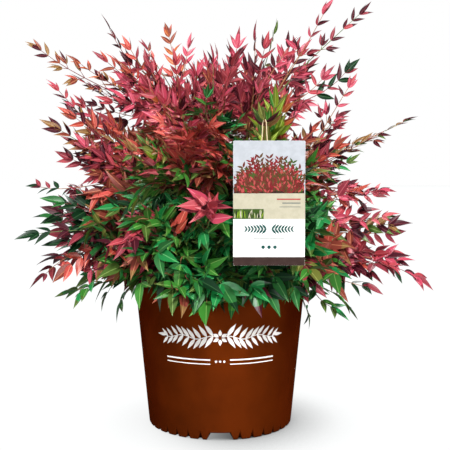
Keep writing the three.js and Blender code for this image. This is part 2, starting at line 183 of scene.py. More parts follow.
SIDE_SPRAYS = 170 * MM  # across, from where the sprays below are slender too
SLENDER_NODES = 4  # pairs on a slender spray
SLENDER_SIZE = 0.87  # of its leaflets, against the others
SLIM_SPRAYS = 40  # so many of them, from the first on, are slender, with short or no side branches
SLIM_AGAIN = len(LONG_SPRAYS) - 28  # and so are those from this one on

# Sprays on the viewer's side that stand out of the body: where the tip is, where it points, and the tint.
FRONT_SPRAYS = [
    ((-4, -206, 352), (-0.3, -0.9, -0.2), "moss"),
    ((8, -222, 336), (0.3, -0.8, -0.3), "brick"),
    ((-30, -215, 324), (-0.2, -0.8, -0.4), "bronze"),
    ((14, -222, 268), (0.3, -0.7, -0.5), "leaf_green"),
    ((-62, -205, 390), (-0.5, -0.8, 0.15), "salmon"),
    ((-18, -200, 398), (0.1, -0.9, 0.1), "salmon"),
    ((14, -205, 374), (0.5, -0.7, -0.4), "brick"),
    ((-8, -212, 347), (0.5, -0.8, -0.3), "brick"),
    ((-95, -190, 374), (-0.6, -0.7, 0.2), "olive"),
    ((-154, -130, 304), (-0.8, -0.5, 0.1), "deep_green"),
    ((-24, -220, 352), (-0.5, -0.85, 0.1), "olive"),
    ((-16, -222, 370), (0.3, -0.85, 0.1), "salmon"),
    ((6, -226, 360), (0.55, -0.8, -0.2), "salmon"),
    ((10, -214, 350), (0.4, -0.85, 0.2), "brick"),
    ((-18, -218, 286), (-0.2, -0.8, -0.5), "emerald"),
    ((-140, -150, 230), (-0.35, -0.4, -0.8), "wine"),
    ((-102, -180, 218), (-0.15, -0.5, -0.8), "rust"),
    ((-44, -205, 242), (0.7, -0.6, -0.25), "leaf_green"),
    ((-78, -190, 264), (0.3, -0.7, -0.5), "moss"),
    ((-110, -175, 347), (-0.6, -0.7, -0.1), "moss"),
    ((-55, -205, 332), (-0.3, -0.8, -0.3), "leaf_green"),
    ((-14, -156, 452), (0.1, -0.6, 0.75), "emerald"),
    ((128, -130, 384), (0.9, -0.4, 0.15), "rust"),
    ((-15, -215, 252), (0.1, -0.6, -0.7), "emerald"),
    ((8, -195, 207), (0.9, -0.4, -0.3), "deep_green"),
    ((-62, -185, 198), (-0.8, -0.5, -0.3), "deep_green"),
    ((-28, -190, 180), (-0.2, -0.4, -0.9), "deep_green"),
    ((60, -185, 192), (0.7, -0.5, -0.5), "deep_green"),
    ((-82, -160, 188), (-0.7, -0.4, -0.5), "rust"),
    ((-50, -178, 174), (0.2, -0.4, -0.9), "moss"),
    ((-100, -150, 178), (-0.1, -0.4, -0.9), "leaf_green"),
    ((24, -188, 178), (0.5, -0.4, -0.75), "deep_green"),
    ((44, -184, 173), (0.1, -0.4, -0.9), "night_green"),
    ((70, -176, 174), (0.4, -0.4, -0.8), "night_green"),
    ((94, -160, 178), (0.2, -0.4, -0.9), "deep_green"),
    ((84, -170, 192), (0.5, -0.4, -0.7), "night_green"),
    ((110, -150, 192), (0.4, -0.4, -0.8), "leaf_green"),
    ((122, -165, 270), (0.6, -0.7, -0.2), "emerald"),
    ((128, -150, 332), (0.7, -0.6, 0.1), "brick"),
    ((-166, -60, 172), (-0.5, -0.2, -0.8), "leaf_green"),
    ((-70, -175, 180), (-0.1, -0.5, -0.8), "night_green"),
    ((-38, -185, 174), (0.1, -0.5, -0.8), "rust"),
    ((-50, -205, 420), (-0.2, -0.8, 0.4), "cherry"),
    ((-78, -198, 408), (-0.5, -0.8, 0.3), "salmon"),
    ((-36, -208, 378), (-0.2, -0.9, 0.0), "salmon"),
    ((-2, -212, 360), (0.2, -0.9, -0.1), "salmon"),
    ((60, -168, 425), (0.1, -0.5, 0.85), "lime"),
    ((78, -170, 412), (0.35, -0.6, 0.7), "lime"),
    ((46, -172, 408), (-0.1, -0.6, 0.8), "olive"),
    ((86, -155, 442), (0.35, -0.4, 0.85), "orange"),
    ((66, -155, 452), (0.0, -0.4, 0.9), "lime"),
    ((72, -172, 432), (0.15, -0.5, 0.85), "lime"),
    ((56, -178, 404), (0.0, -0.6, 0.8), "lime"),
    ((22, -186, 388), (0.1, -0.7, 0.6), "leaf_green"),
    ((-112, -185, 264), (-0.5, -0.6, -0.4), "crimson"),
    ((-92, -195, 250), (0.3, -0.6, -0.6), "wine"),
    ((-118, -178, 238), (-0.2, -0.5, -0.8), "crimson"),
    ((138, -165, 254), (0.7, -0.6, 0.1), "emerald"),
    ((128, -174, 242), (0.5, -0.7, -0.4), "leaf_green"),
    ((-228, -20, 176), (-0.95, -0.1, -0.25), "leaf_green"),
    ((-196, -40, 160), (-0.5, -0.1, -0.85), "leaf_green"),
    ((233, -20, 322), (0.95, -0.1, 0.25), "rose"),
    ((200, -40, 279), (0.45, -0.1, -0.88), "crimson"),
    ((202, -30, 334), (0.7, -0.1, 0.7), "brick"),
    ((257, 0, 280), (1.0, -0.1, 0.0), "deep_green"),
    ((254, -30, 266), (0.98, -0.1, 0.1), "crimson"),
    ((183, -60, 222), (0.7, -0.3, -0.3), "rust"),
    ((226, -20, 181), (0.95, -0.1, -0.25), "maroon"),
    ((262, -20, 236), (0.95, -0.1, 0.2), "crimson"),
    ((274, 0, 224), (0.95, 0.0, 0.1), "cherry"),
    ((238, -20, 196), (0.5, -0.1, -0.85), "crimson"),
    ((252, 0, 188), (0.4, 0.0, -0.9), "maroon"),
    ((172, -60, 172), (0.6, -0.1, -0.75), "brick"),
    ((178, -40, 150), (0.85, -0.1, -0.4), "leaf_green"),
    ((206, -20, 204), (0.7, -0.1, -0.6), "brick"),
    ((190, -40, 232), (0.8, -0.1, 0.3), "wine"),
]

# The red star of short sprays beside the card, in the same terms.
STAR = [
    ((-49, -231, 308), (-0.95, -0.25, 0.0), "rose"),
    ((-47, -228, 302), (-0.95, -0.25, -0.1), "crimson"),
    ((-30, -233, 322), (-0.6, -0.35, 0.7), "rose"),
    ((-8, -234, 325), (0.1, -0.4, 0.9), "crimson"),
    ((17, -234, 304), (0.95, -0.25, 0.0), "rose"),
    ((12, -236, 313), (0.85, -0.35, 0.35), "crimson"),
    ((-20, -240, 312), (-0.4, -0.8, 0.45), "rose"),
]
STAR_NODES = 1  # threes of leaflets on each of them

# Sprays behind the card, which reach almost to its back and fan out from its middle, in the same terms.
BEHIND_CARD = [
    ((across, -221, height), ((across - 54) / 120, -0.9, 0.1), "deep_green")
    for across in (20, 54, 88)
    for height in (258, 300, 340, 372)
]

SIDE_PATCH = 150  # how far across a patch lies that tints both the front and the back
PATCH_SHARE = 0.8  # of the sprays in a patch that take its tints

# Places on the viewer's side where the sprays take tints of their own: across, height, radius, tints.
PATCHES = [
    (-200, 250, 40, ("rust", "wine", "rust", "moss")),
    (-194, 298, 32, ("rust", "wine", "rust", "brick")),
    (-15, 408, 32, ("salmon", "orange", "olive", "rose")),
    (-62, 458, 50, ("rose", "rose", "cherry", "crimson")),
    (-75, 352, 44, ("olive", "moss", "bronze", "leaf_green", "lime")),
    (-20, 262, 34, ("deep_green", "emerald", "leaf_green")),
    (-75, 405, 45, ("salmon", "rose", "salmon", "brick")),
    (-14, 306, 24, ("crimson", "brick")),
    (-8, 342, 26, ("leaf_green", "moss", "olive", "emerald")),
    (-5, 362, 30, ("salmon", "olive", "salmon", "orange")),
    (2, 435, 32, ("deep_green", "emerald")),
    (68, 418, 34, ("lime", "olive", "orange")),
    (34, 392, 14, ("leaf_green",)),
    (30, 440, 40, ("rust", "bronze", "crimson")),
    (148, 258, 46, ("emerald", "leaf_green", "deep_green")),
    (150, 304, 30, ("leaf_green", "deep_green", "brick", "rust")),
    (92, 458, 36, ("orange", "olive", "bronze", "crimson")),
    (138, 208, 44, ("wine", "rust", "moss", "leaf_green")),
    (-195, 255, 30, ("rust", "brick", "crimson", "leaf_green")),
    (-250, 250, 36, ("maroon", "night_green", "leaf_green", "maroon")),
    (-55, 425, 40, ("cherry", "salmon", "crimson")),
    (-115, 350, 34, ("moss", "rust", "deep_green", "moss", "brick")),
    (-60, 318, 38, ("leaf_green", "moss", "emerald", "rust", "brick")),
    (-112, 298, 46, ("emerald", "leaf_green", "moss", "leaf_green")),
    (215, 250, 80, ("rose", "crimson", "cherry", "brick")),
    (-176, 318, 26, ("rust", "brick")),
    (125, 182, 40, ("leaf_green", "deep_green")),
    (-196, 215, 48, ("rust", "wine", "moss", "deep_green")),
    (-118, 255, 36, ("wine", "leaf_green", "emerald", "deep_green", "rust")),
    (-110, 215, 40, ("wine", "rust", "leaf_green")),
    (-40, 392, 62, ("brick", "salmon", "salmon", "orange")),
    (-14, 258, 50, ("emerald", "deep_green", "leaf_green", "leaf_green")),
    (-50, 250, 62, ("emerald", "deep_green", "leaf_green", "leaf_green", "bronze")),
    (60, 190, 60, ("deep_green", "night_green", "moss", "deep_green")),
    (-60, 195, 44, ("deep_green", "night_green", "moss", "rust")),
    (160, 470, 55, ("wine", "crimson", "maroon", "cherry")),
]


def tint(red, green, blue):
    """A plain colour from sRGB values of 0 to 255, as linear red, green, blue and alpha."""
    value = np.array([red, green, blue]) / 255
    linear = np.where(value <= 0.04045, value / 12.92, ((value + 0.055) / 1.055) ** 2.4)
    return (*linear, 1.0)


# Each leaf tint with the tint of its midrib.
TINTS = {
    "rose": (tint(206, 98, 106), tint(232, 152, 154)),
    "cherry": (tint(188, 68, 90), tint(214, 116, 132)),
    "crimson": (tint(172, 62, 72), tint(200, 98, 104)),
    "wine": (tint(134, 48, 60), tint(176, 86, 94)),
    "maroon": (tint(66, 18, 30), tint(108, 48, 56)),
    "salmon": (tint(202, 84, 76), tint(226, 144, 122)),
    "brick": (tint(174, 68, 56), tint(214, 124, 102)),
    "rust": (tint(126, 56, 44), tint(188, 116, 84)),
    "orange": (tint(182, 94, 52), tint(210, 136, 90)),
    "bronze": (tint(130, 92, 52), tint(172, 138, 88)),
    "olive": (tint(104, 108, 46), tint(152, 156, 86)),
    "moss": (tint(72, 98, 40), tint(124, 148, 80)),
    "lime": (tint(132, 156, 48), tint(186, 202, 104)),
    "leaf_green": (tint(58, 124, 44), tint(128, 176, 92)),
    "emerald": (tint(28, 126, 62), tint(102, 180, 112)),
    "deep_green": (tint(34, 98, 44), tint(88, 148, 82)),
    # painted shade: night green, near black, goes to leaves that lie in deep shade, inside the crown and under
    # it
    "night_green": (tint(14, 46, 24), tint(44, 84, 46)),
}
# A spray's own tint, then those that some of its leaflets take. The shares of all four are below.
# painted shade: maroon in a family stands for leaflets in shadow, dealt out at random
FAMILIES = {
    "rose": ("rose", "cherry", "crimson", "wine"),
    "cherry": ("cherry", "crimson", "wine", "maroon"),
    "crimson": ("crimson", "cherry", "wine", "maroon"),
    "wine": ("wine", "crimson", "maroon", "maroon"),
    "maroon": ("maroon", "wine", "night_green", "night_green"),
    "salmon": ("salmon", "brick", "crimson", "rust"),
    "brick": ("brick", "rust", "wine", "salmon"),
    "rust": ("rust", "brick", "bronze", "maroon"),
    "orange": ("orange", "salmon", "brick", "rust"),
    "bronze": ("bronze", "rust", "moss", "maroon"),
    "olive": ("olive", "bronze", "moss", "moss"),
    "moss": ("moss", "leaf_green", "deep_green", "olive"),
    "lime": ("lime", "leaf_green", "olive", "lime"),
    "leaf_green": ("leaf_green", "emerald", "moss", "deep_green"),
    "emerald": ("emerald", "leaf_green", "deep_green", "deep_green"),
    "deep_green": ("deep_green", "emerald", "night_green", "moss"),
    "night_green": ("night_green", "deep_green", "maroon", "deep_green"),
}
DULL_TINTS = ("maroon", "night_green", "wine")  # the dark leaves, which shine least
INNER_TINTS = (  # of the shaded leaves, low and high in the crown; the low ones mostly the darkest tints, a painted shade deep inside
    ("night_green", "deep_green", "maroon", "night_green", "moss"),
    ("wine", "brick", "rust", "crimson", "bronze"),
)
FAMILY_SHARES = (0.5, 0.22, 0.16, 0.12)
FRINGE_SHARES = (0.31, 0.14, 0.23, 0.32)  # on the slender sprays that stand out, with more of each spray's darker tints: a painted shade on leaves in full light
TIPPED_SHARE = 0.3  # of leaflets whose point has the spray's third tint
# How the tints are dealt out from the pot's rim to the crown's top: height, then the share of each tint.
TINT_LEVELS = [
    # painted shade: the lowest leaves, under the crown, are dealt mostly the darkest greens
    (150 * MM, {"leaf_green": 1, "emerald": 1, "moss": 3, "deep_green": 5, "rust": 3, "night_green": 5}),
    (215 * MM, {"leaf_green": 2, "emerald": 2, "deep_green": 5, "brick": 2, "rust": 3, "night_green": 1}),
    (
        285 * MM,
        {"emerald": 3, "deep_green": 4, "leaf_green": 3, "brick": 1, "bronze": 2, "moss": 2, "rust": 1},
    ),
    (345 * MM, {"deep_green": 3, "moss": 4, "bronze": 4, "olive": 3, "rust": 2, "brick": 2}),
    (395 * MM, {"brick": 4, "salmon": 4, "rust": 2, "bronze": 2, "crimson": 3, "olive": 2}),
    (450 * MM, {"crimson": 5, "cherry": 3, "orange": 1, "brick": 2, "wine": 2, "deep_green": 1}),
    (540 * MM, {"cherry": 5, "crimson": 4, "orange": 1, "brick": 1, "wine": 3}),
]
SIDE_TINTS = {"crimson": 4, "brick": 3, "wine": 3, "cherry": 2, "maroon": 3, "leaf_green": 2, "deep_green": 2}
SIDE_REACH = (170 * MM, 225 * MM)  # how far across the side tints start to mix in, and are half of all

# Each light's bearing and elevation in degrees, its strength, and its width in degrees.
LIGHTS = {
    "key": (6, 36, 3.5, 9),
    "fill left": (-15, 0, 1.9, 26),
    "fill right": (40, 0, 1.6, 30),
    "right": (118, 24, 0.6, 40),
    "left": (-118, 24, 0.5, 40),
    "back": (180, 38, 2.4, 40),
}
ROOM_LIGHT = 0.28
CAMERA = {"lens": 63.3, "sensor": 36, "place": (0.0, -1.1, 0.3365), "aim": (0.0068, 0, 0.2721)}


# ---------------------------------------------------------------- surfaces


def unit(vectors):
    """Vectors scaled to length 1."""
    vectors = np.asarray(vectors, float)
    return vectors / np.maximum(np.linalg.norm(vectors, axis=-1, keepdims=True), 1e-12)


def piece(name, points, faces, materials, kinds=None, uv=None, smooth=True):
    """A mesh object from its points (n, 3) and lists of equal-sided faces, each an array (m, 3) or (m, 4).

    kinds gives each face's material, and uv each point's place in the piece's own map.
    """
    corners = np.concatenate([block.reshape(-1) for block in faces]).astype(np.int32)
    sizes = np.concatenate([np.full(len(block), block.shape[1]) for block in faces]).astype(np.int32)
    starts = np.concatenate([[0], np.cumsum(sizes)[:-1]]).astype(np.int32)
    mesh = bpy.data.meshes.new(name)
    mesh.vertices.add(len(points))
    mesh.vertices.foreach_set("co", np.asarray(points, np.float32).reshape(-1))
    mesh.loops.add(len(corners))
    mesh.loops.foreach_set("vertex_index", corners)
    mesh.polygons.add(len(sizes))
    mesh.polygons.foreach_set("loop_start", starts)
    mesh.polygons.foreach_set("loop_total", sizes)
    mesh.polygons.foreach_set("use_smooth", np.full(len(sizes), smooth))
    for material in materials:
        mesh.materials.append(material)
    if kinds is not None:
        mesh.polygons.foreach_set("material_index", np.asarray(kinds, np.int32))
    if uv is not None:
        layer = mesh.uv_layers.new(name="surface")
        layer.data.foreach_set("uv", np.asarray(uv, np.float32)[corners].reshape(-1))
    mesh.update(calc_edges=True)
    mesh.validate()
    made = bpy.data.objects.new(name, mesh)
    bpy.context.scene.collection.objects.link(made)
    return made


def wrap_faces(rows, columns):
    """Quads between the rows of a surface that closes on itself across: (rows - 1) x columns of them."""
    row, column = np.meshgrid(np.arange(rows - 1), np.arange(columns), indexing="ij")
    beside = (column + 1) % columns
    quads = [row * columns + column, row * columns + beside, (row + 1) * columns + beside]
    return np.stack([*quads, (row + 1) * columns + column], axis=-1).reshape(-1, 4)


def turned(name, radius, height, angles, materials, shade_mask=None):
    """A closed body of revolution from radius and height, both (rows, angles), that ends on the axis.

    A point is (radius cos angle, radius sin angle, height), with the profile running from under to over the
    body. A shade mask (rows, angles), by which a material paints shade, goes into the piece's map as its
    second number.
    """
    ring = np.stack([radius * np.cos(angles), radius * np.sin(angles), height], axis=-1)
    rows, columns = radius.shape
    points = np.concatenate([ring.reshape(-1, 3), [[0, 0, height[0].mean()], [0, 0, height[-1].mean()]]])
    column = np.arange(columns)
    beside = (column + 1) % columns
    last = (rows - 1) * columns
    under = np.stack([np.full(columns, rows * columns), beside, column], axis=-1)
    over = np.stack([np.full(columns, rows * columns + 1), last + column, last + beside], axis=-1)
    maps = None
    if shade_mask is not None:
        maps = np.zeros((len(points), 2))
        maps[:-2, 1] = shade_mask.reshape(-1)
    return piece(name, points, [wrap_faces(rows, columns), under, over], materials, uv=maps)


def smooth_path(knots, count):
    """A curve of count points through the knots: Catmull-Rom, where each stretch leaves a knot parallel to
    the line between that knot's neighbours."""
    knots = np.asarray(knots, float)
    ends = np.concatenate([[2 * knots[0] - knots[1]], knots, [2 * knots[-1] - knots[-2]]])
    place = np.linspace(0, len(knots) - 1, count)
    first = np.minimum(place.astype(int), len(knots) - 2)
    t = (place - first)[:, None]
    a, b, c, d = (ends[first + k] for k in range(4))
    return 0.5 * (2 * b + (c - a) * t + (2 * a - 5 * b + 4 * c - d) * t**2 + (3 * b - a - 3 * c + d) * t**3)


def bezier(a, b, c, d, count):
    """A cubic curve of count points from a to d, leaving towards b and arriving from c."""
    t = np.linspace(0, 1, count)[:, None]
    return (1 - t) ** 3 * a + 3 * t * (1 - t) ** 2 * b + 3 * t**2 * (1 - t) * c + t**3 * d


def tubes(paths, radii, sides, relief=None):
    """Closed round tubes along many paths at once, as points, quads, triangles and a map for each point.

    A point is path(t) + radius(t) (across cos angle + over sin angle), with across and over square to the
    path, and a pole closes each end. paths is (n, k, 3), radii is (n, k), and relief (k, sides) swells or
    narrows the radius. The map is (angle x mean radius, length along the path).
    """
    paths = np.asarray(paths, float)
    many, steps, _ = paths.shape
    heading = unit(np.gradient(paths, axis=1))
    chord = unit(paths[:, -1] - paths[:, 0])
    helper = np.eye(3)[np.abs(chord).argmin(axis=1)]
    across = unit(np.cross(heading, helper[:, None]))
    over = np.cross(heading, across)
    angle = np.arange(sides) * math.tau / sides
    swell = np.ones((steps, sides)) if relief is None else relief
    turn = across[:, :, None] * np.cos(angle)[:, None] + over[:, :, None] * np.sin(angle)[:, None]
    ring = paths[:, :, None] + turn * (np.asarray(radii)[:, :, None] * swell)[..., None]
    poles = np.stack([paths[:, 0], paths[:, -1]], axis=1)
    points = np.concatenate([ring.reshape(many, -1, 3), poles], axis=1)
    each = steps * sides + 2
    start = (np.arange(many) * each)[:, None, None]
    quads = (wrap_faces(steps, sides)[None] + start).reshape(-1, 4)
    column = np.arange(sides)
    beside = (column + 1) % sides
    last = (steps - 1) * sides
    foot = np.stack([np.full(sides, each - 2), beside, column], axis=-1)
    head = np.stack([np.full(sides, each - 1), last + column, last + beside], axis=-1)
    tris = (np.concatenate([foot, head])[None] + start).reshape(-1, 3)
    length = np.concatenate(
        [np.zeros((many, 1)), np.cumsum(np.linalg.norm(np.diff(paths, axis=1), axis=-1), axis=1)], axis=1
    )
    maps = np.broadcast_arrays((angle * np.mean(radii))[None, None], length[:, :, None])
    maps = np.stack(maps, axis=-1).reshape(many, -1, 2)
    maps = np.concatenate([maps, maps[:, :1], maps[:, -1:]], axis=1)
    return points.reshape(-1, 3), quads, tris, maps.reshape(-1, 2)


# ---------------------------------------------------------------- materials


def give(node, **values):
    """Sets plain values on a node's own sockets, with _ for each space in a socket's name."""
    for socket, value in values.items():
        node.inputs[socket.replace("_", " ")].default_value = value


def material(name, colour, roughness, **values):
    """A material with a Principled shader whose plain values sit on its own sockets."""
    made = bpy.data.materials.new(name)
    made.use_nodes = True
    give(made.node_tree.nodes["Principled BSDF"], Base_Color=colour, Roughness=roughness, **values)
    made.diffuse_color = colour
    return made


def nodes_of(tree):
    """Two short ways to build a node tree: add(kind, **values) makes a node, join(out, into) links it."""

    def add(kind, **values):
        """A new node with the given settings."""
        node = tree.nodes.new(kind)
        for key, value in values.items():
            setattr(node, key, value)
        return node

    return add, tree.links.new


def mottle_group():
    """Soft patches: a noise of the given size, steered between two values. It puts out a value."""
    tree = bpy.data.node_groups.new("mottle", "ShaderNodeTree")
    tree.interface.new_socket("Vector", in_out="INPUT", socket_type="NodeSocketVector")
    for socket in ("Size", "Low", "High"):
        tree.interface.new_socket(socket, in_out="INPUT", socket_type="NodeSocketFloat")
    tree.interface.new_socket("Value", in_out="OUTPUT", socket_type="NodeSocketFloat")
    add, join = nodes_of(tree)
    given = add("NodeGroupInput")
    noise = add("ShaderNodeTexNoise")
    give(noise, Detail=4, Roughness=0.6)
    spread = add("ShaderNodeMapRange", interpolation_type="SMOOTHSTEP")
    give(spread, From_Min=0.36, From_Max=0.64)
    result = add("NodeGroupOutput")
    join(given.outputs["Vector"], noise.inputs["Vector"])
    join(given.outputs["Size"], noise.inputs["Scale"])
    join(noise.outputs["Fac"], spread.inputs["Value"])
    join(given.outputs["Low"], spread.inputs["To Min"])
    join(given.outputs["High"], spread.inputs["To Max"])
    join(spread.outputs["Result"], result.inputs["Value"])
    return tree


MOTTLE = mottle_group()


def mottle(tree, vector, size, low=0.0, high=1.0):
    """Places the mottle group in a material with its own values, and returns its output."""
    node = tree.nodes.new("ShaderNodeGroup")
    node.node_tree = MOTTLE
    give(node, Size=size, Low=low, High=high)
    tree.links.new(vector, node.inputs["Vector"])
    return node.outputs["Value"]


def place(tree, source="Object", stretch=(1, 1, 1)):
    """The coordinates that a pattern reads: Object or UV, stretched."""
    add, join = nodes_of(tree)
    coordinates = add("ShaderNodeTexCoord")
    mapping = add("ShaderNodeMapping")
    give(mapping, Scale=stretch)
    join(coordinates.outputs[source], mapping.inputs["Vector"])
    return mapping.outputs["Vector"]


def blend(tree, share, first, second):
    """first and second mixed by share. Either may be a colour or another node's output."""
    node = tree.nodes.new("ShaderNodeMix")
    node.data_type = "RGBA"
    tree.links.new(share, node.inputs["Factor"])
    for socket, value in (("A", first), ("B", second)):
        into = next(s for s in node.inputs if s.name == socket and s.type == "RGBA")
        if isinstance(value, tuple):
            into.default_value = value
        else:
            tree.links.new(value, into)
    return next(s for s in node.outputs if s.type == "RGBA")


def bump(tree, height, strength, distance):
    """Small relief from a height value, joined to the material's shader."""
    node = tree.nodes.new("ShaderNodeBump")
    give(node, Strength=strength, Distance=distance)
    tree.links.new(height, node.inputs["Height"])
    drive(tree, node.outputs["Normal"], "Normal")


def drive(tree, output, socket):
    """Joins an output to the material's shader."""
    tree.links.new(output, tree.nodes["Principled BSDF"].inputs[socket])


def pot_plastic():
    """Satin brown plastic: faint cloudy patches, painted shade in the grooves of the foot, and a fine grain.
    """
    sheen = {"Specular_IOR_Level": 0.0, "Metallic": 0.85, "Specular_Tint": tint(90, 30, 10)}
    made = material("pot_plastic", tint(111, 45, 11), 0.5, **sheen)
    tree = made.node_tree
    add, join = nodes_of(tree)
    spot = place(tree)
    cloud = blend(tree, mottle(tree, spot, 14), tint(106, 43, 11), tint(117, 48, 12))
    # painted shade: the map's second number, how deep the foot's grooves are sunk, darkens the colour to near
    # black there
    parts = add("ShaderNodeSeparateXYZ")
    join(place(tree, "UV"), parts.inputs[0])
    drive(tree, blend(tree, parts.outputs["Y"], cloud, tint(24, 8, 5)), "Base Color")
    drive(tree, mottle(tree, spot, 30, 0.5, 0.58), "Roughness")
    bump(tree, mottle(tree, spot, 700), 0.06, 0.0004)
    return made


def potting_mix():
    """Moist bark mix: near black to warm brown crumbs."""
    made = material("potting_mix", tint(46, 30, 22), 0.95)
    tree = made.node_tree
    spot = place(tree)
    crumbs = blend(tree, mottle(tree, spot, 130), tint(28, 19, 14), tint(78, 52, 34))
    drive(tree, blend(tree, mottle(tree, spot, 420), crumbs, tint(50, 34, 24)), "Base Color")
    bump(tree, mottle(tree, spot, 260), 0.9, 0.002)
    return made


def cane_bark():
    """Thin fissured bark, drawn out along the cane: tan ridges over reddish brown, with grey patches."""
    made = material("cane_bark", tint(112, 80, 56), 0.8)
    tree = made.node_tree
    along = place(tree, "UV", (1, 0.12, 1))
    ridges = blend(tree, mottle(tree, along, 900), tint(74, 44, 32), tint(146, 112, 78))
    patches = mottle(tree, place(tree, "UV"), 60, 0.0, 0.5)
    drive(tree, blend(tree, patches, ridges, tint(128, 112, 92)), "Base Color")
    drive(tree, mottle(tree, along, 500, 0.68, 0.9), "Roughness")
    bump(tree, mottle(tree, along, 900), 0.8, 0.0008)
    return made


def patchy(name, first, second, size, roughness, gloss=0.5):
    """A matt material whose colour, between two tints, and roughness drift in soft patches."""
    made = material(name, first, roughness, Specular_IOR_Level=gloss)
    tree = made.node_tree
    spot = place(tree)
    drive(tree, blend(tree, mottle(tree, spot, size), first, second), "Base Color")
    drive(tree, mottle(tree, spot, size * 2, roughness - 0.06, min(1, roughness + 0.06)), "Roughness")
    return made


def ink(name, red, green, blue):
    """Printing ink: nearly even, a little thinner in patches."""
    return patchy(f"ink_{name}", tint(red, green, blue), tint(red + 8, green + 8, blue + 8), 170, 0.5, 0.15)


LEAF_TINTS = list(TINTS)
LEAF_MATERIALS = []
for tint_name, (blade_tint, rib_tint) in TINTS.items():
    leaf_gloss = 0.2 if tint_name in DULL_TINTS else 0.34
    LEAF_MATERIALS.append(material(f"leaf_{tint_name}", blade_tint, 0.36, Specular_IOR_Level=leaf_gloss))
    LEAF_MATERIALS.append(material(f"rib_{tint_name}", rib_tint, 0.5, Specular_IOR_Level=0.3))
STALK_MATERIALS = [
    material("stalk_red", tint(120, 46, 42), 0.5),
    material("stalk_tan", tint(158, 104, 66), 0.55),
    material("stalk_green", tint(96, 116, 58), 0.5),
]


# ---------------------------------------------------------------- the pot and the mix in it


def slot_profile(angles):
    """How high the foot is cut away at each angle: a trapezoid over each slot, narrower at its top."""
    step = math.tau / SLOT["count"]
    off = np.abs((angles + step / 2) % step - step / 2) * POT["underside"]
    return SLOT["height"] * np.clip((SLOT["half"] - off) / SLOT["slope"], 0, 1)


def dart_profile(angles, height):
    """How deep the small grooves round the foot are sunk, from 0 to 1, at each angle and height: a groove
    at each step round the pot whose width and depth both run out towards its top. None lies over a slot."""
    step = math.tau / POT["darts"]
    off = np.abs(angles % step - step / 2) * POT["underside"]
    left = np.clip(1 - height / POT["dart_rise"], 0, 1)
    groove = np.clip(1 - off / np.maximum(POT["dart_half"] * left, 1e-6), 0, 1) * left
    quarter = math.tau / SLOT["count"]
    from_slot = np.abs((angles + quarter / 2) % quarter - quarter / 2) * POT["underside"]
    return groove * (from_slot > SLOT["half"] + POT["dart_half"])


def pot():
    """The pot: a profile of radius against height, turned round the axis. Over each slot the underside and
    the floor inside are raised to the slot's top, and the grooves of the foot are sunk into the wall. The
    rim has a rolled lip."""
    fine = np.linspace(0, math.tau, 1440, endpoint=False)
    bend = np.linspace(0, 1, 5)[1:] * math.pi / 2
    under, foot, wall, floor = POT["underside"], POT["foot_radius"], POT["wall"], POT["floor"]
    top = POT_HIGH[2]
    lip_foot = top - POT["lip"]
    rim, lip = POT["rim_radius"], POT["lip_radius"]
    taper = (rim - foot) / (top - POT["foot"])
    slot_end = under - SLOT["depth"]
    slot_start = slot_end + 3 * MM
    radii = (*np.linspace(6 * MM, slot_end, 6), slot_start, under - 14 * MM, under - 6 * MM, under)
    profile = [(radius, 0) for radius in radii]
    profile += [(under + (foot - under) * math.sin(b), POT["foot"] * (1 - math.cos(b))) for b in bend]
    heights = [*np.linspace(POT["foot"], 16 * MM, 14)[1:], *np.linspace(16 * MM, lip_foot, 18)[1:]]
    profile += [(foot + taper * (h - POT["foot"]), h) for h in heights]
    outside_rows = len(profile)
    outer = profile[-1][0]
    roll = np.linspace(0, math.pi, 9)
    profile += [(outer + (lip - outer) * 0.5, lip_foot - 0.3 * MM), (lip - 0.6 * MM, lip_foot - 0.2 * MM)]
    profile += [(lip, lip_foot + 0.8 * MM), (lip, lip_foot + 4 * MM), (lip - 0.3 * MM, top - 3 * MM)]
    profile += [
        (lip - 1.5 * MM + 1.2 * MM * math.cos(a), top - 1.4 * MM + 1.4 * MM * math.sin(a)) for a in roll
    ]
    profile += [(lip - 2.9 * MM, top - 5 * MM), (outer - wall, lip_foot), (foot - 6 * MM, 20 * MM)]
    profile += [(foot - 7 * MM, floor), (slot_end, floor), (slot_end - wall, floor), (slot_end / 2, floor)]
    radius, height = (np.array(column)[:, None] * np.ones(len(fine)) for column in zip(*profile))
    cut = slot_profile(fine)
    outside = np.arange(len(profile))[:, None] < outside_rows
    share = np.clip((radius - slot_end) / (slot_start - slot_end), 0, 1)
    height = np.where(outside, np.maximum(height, cut * share), height)
    over_slot = ~outside & (radius > slot_end - 0.1 * MM)
    height = np.where(over_slot, np.maximum(height, (cut + wall) * (cut > 0)), height)
    sunk = dart_profile(fine, height) * (radius > under - 1 * MM) * outside
    radius = radius - sunk * POT["dart_depth"]
    height = np.maximum(height, sunk * POT["dart_lift"])
    # painted shade in the foot's grooves: their depth goes into the map, for the pot's material to darken
    made = turned("pot_shell", radius, height, fine, [pot_plastic()], shade_mask=np.clip(sunk * 1.6, 0, 1))
    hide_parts("pot")
    return made


def mix():
    """The potting mix: a heaped disc, its height its CAD top plus small waves, with a skirt by the wall."""
    angles = np.linspace(0, math.tau, 180, endpoint=False)
    edge = POT["rim_radius"] - POT["wall"] - 4 * MM
    rings = np.concatenate([[edge * 0.8, edge], np.linspace(edge, 6 * MM, 34)])
    heap = 3 * MM * (1 - np.linspace(1, 0.05, 34) ** 2)
    base = np.concatenate([[SOIL_TOP - 30 * MM] * 2, SOIL_TOP - 6 * MM + heap])
    radius = rings[:, None] * np.ones(len(angles))
    waves = np.sin(5 * angles + radius * 190) + np.sin(9 * angles - radius * 330)
    waves += np.sin(17 * angles + radius * 90)
    height = base[:, None] + 0.7 * MM * waves * (np.arange(len(rings)) > 1)[:, None]
    made = turned("potting_mix", radius, height, angles, [potting_mix()])
    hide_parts("soil")
    return made


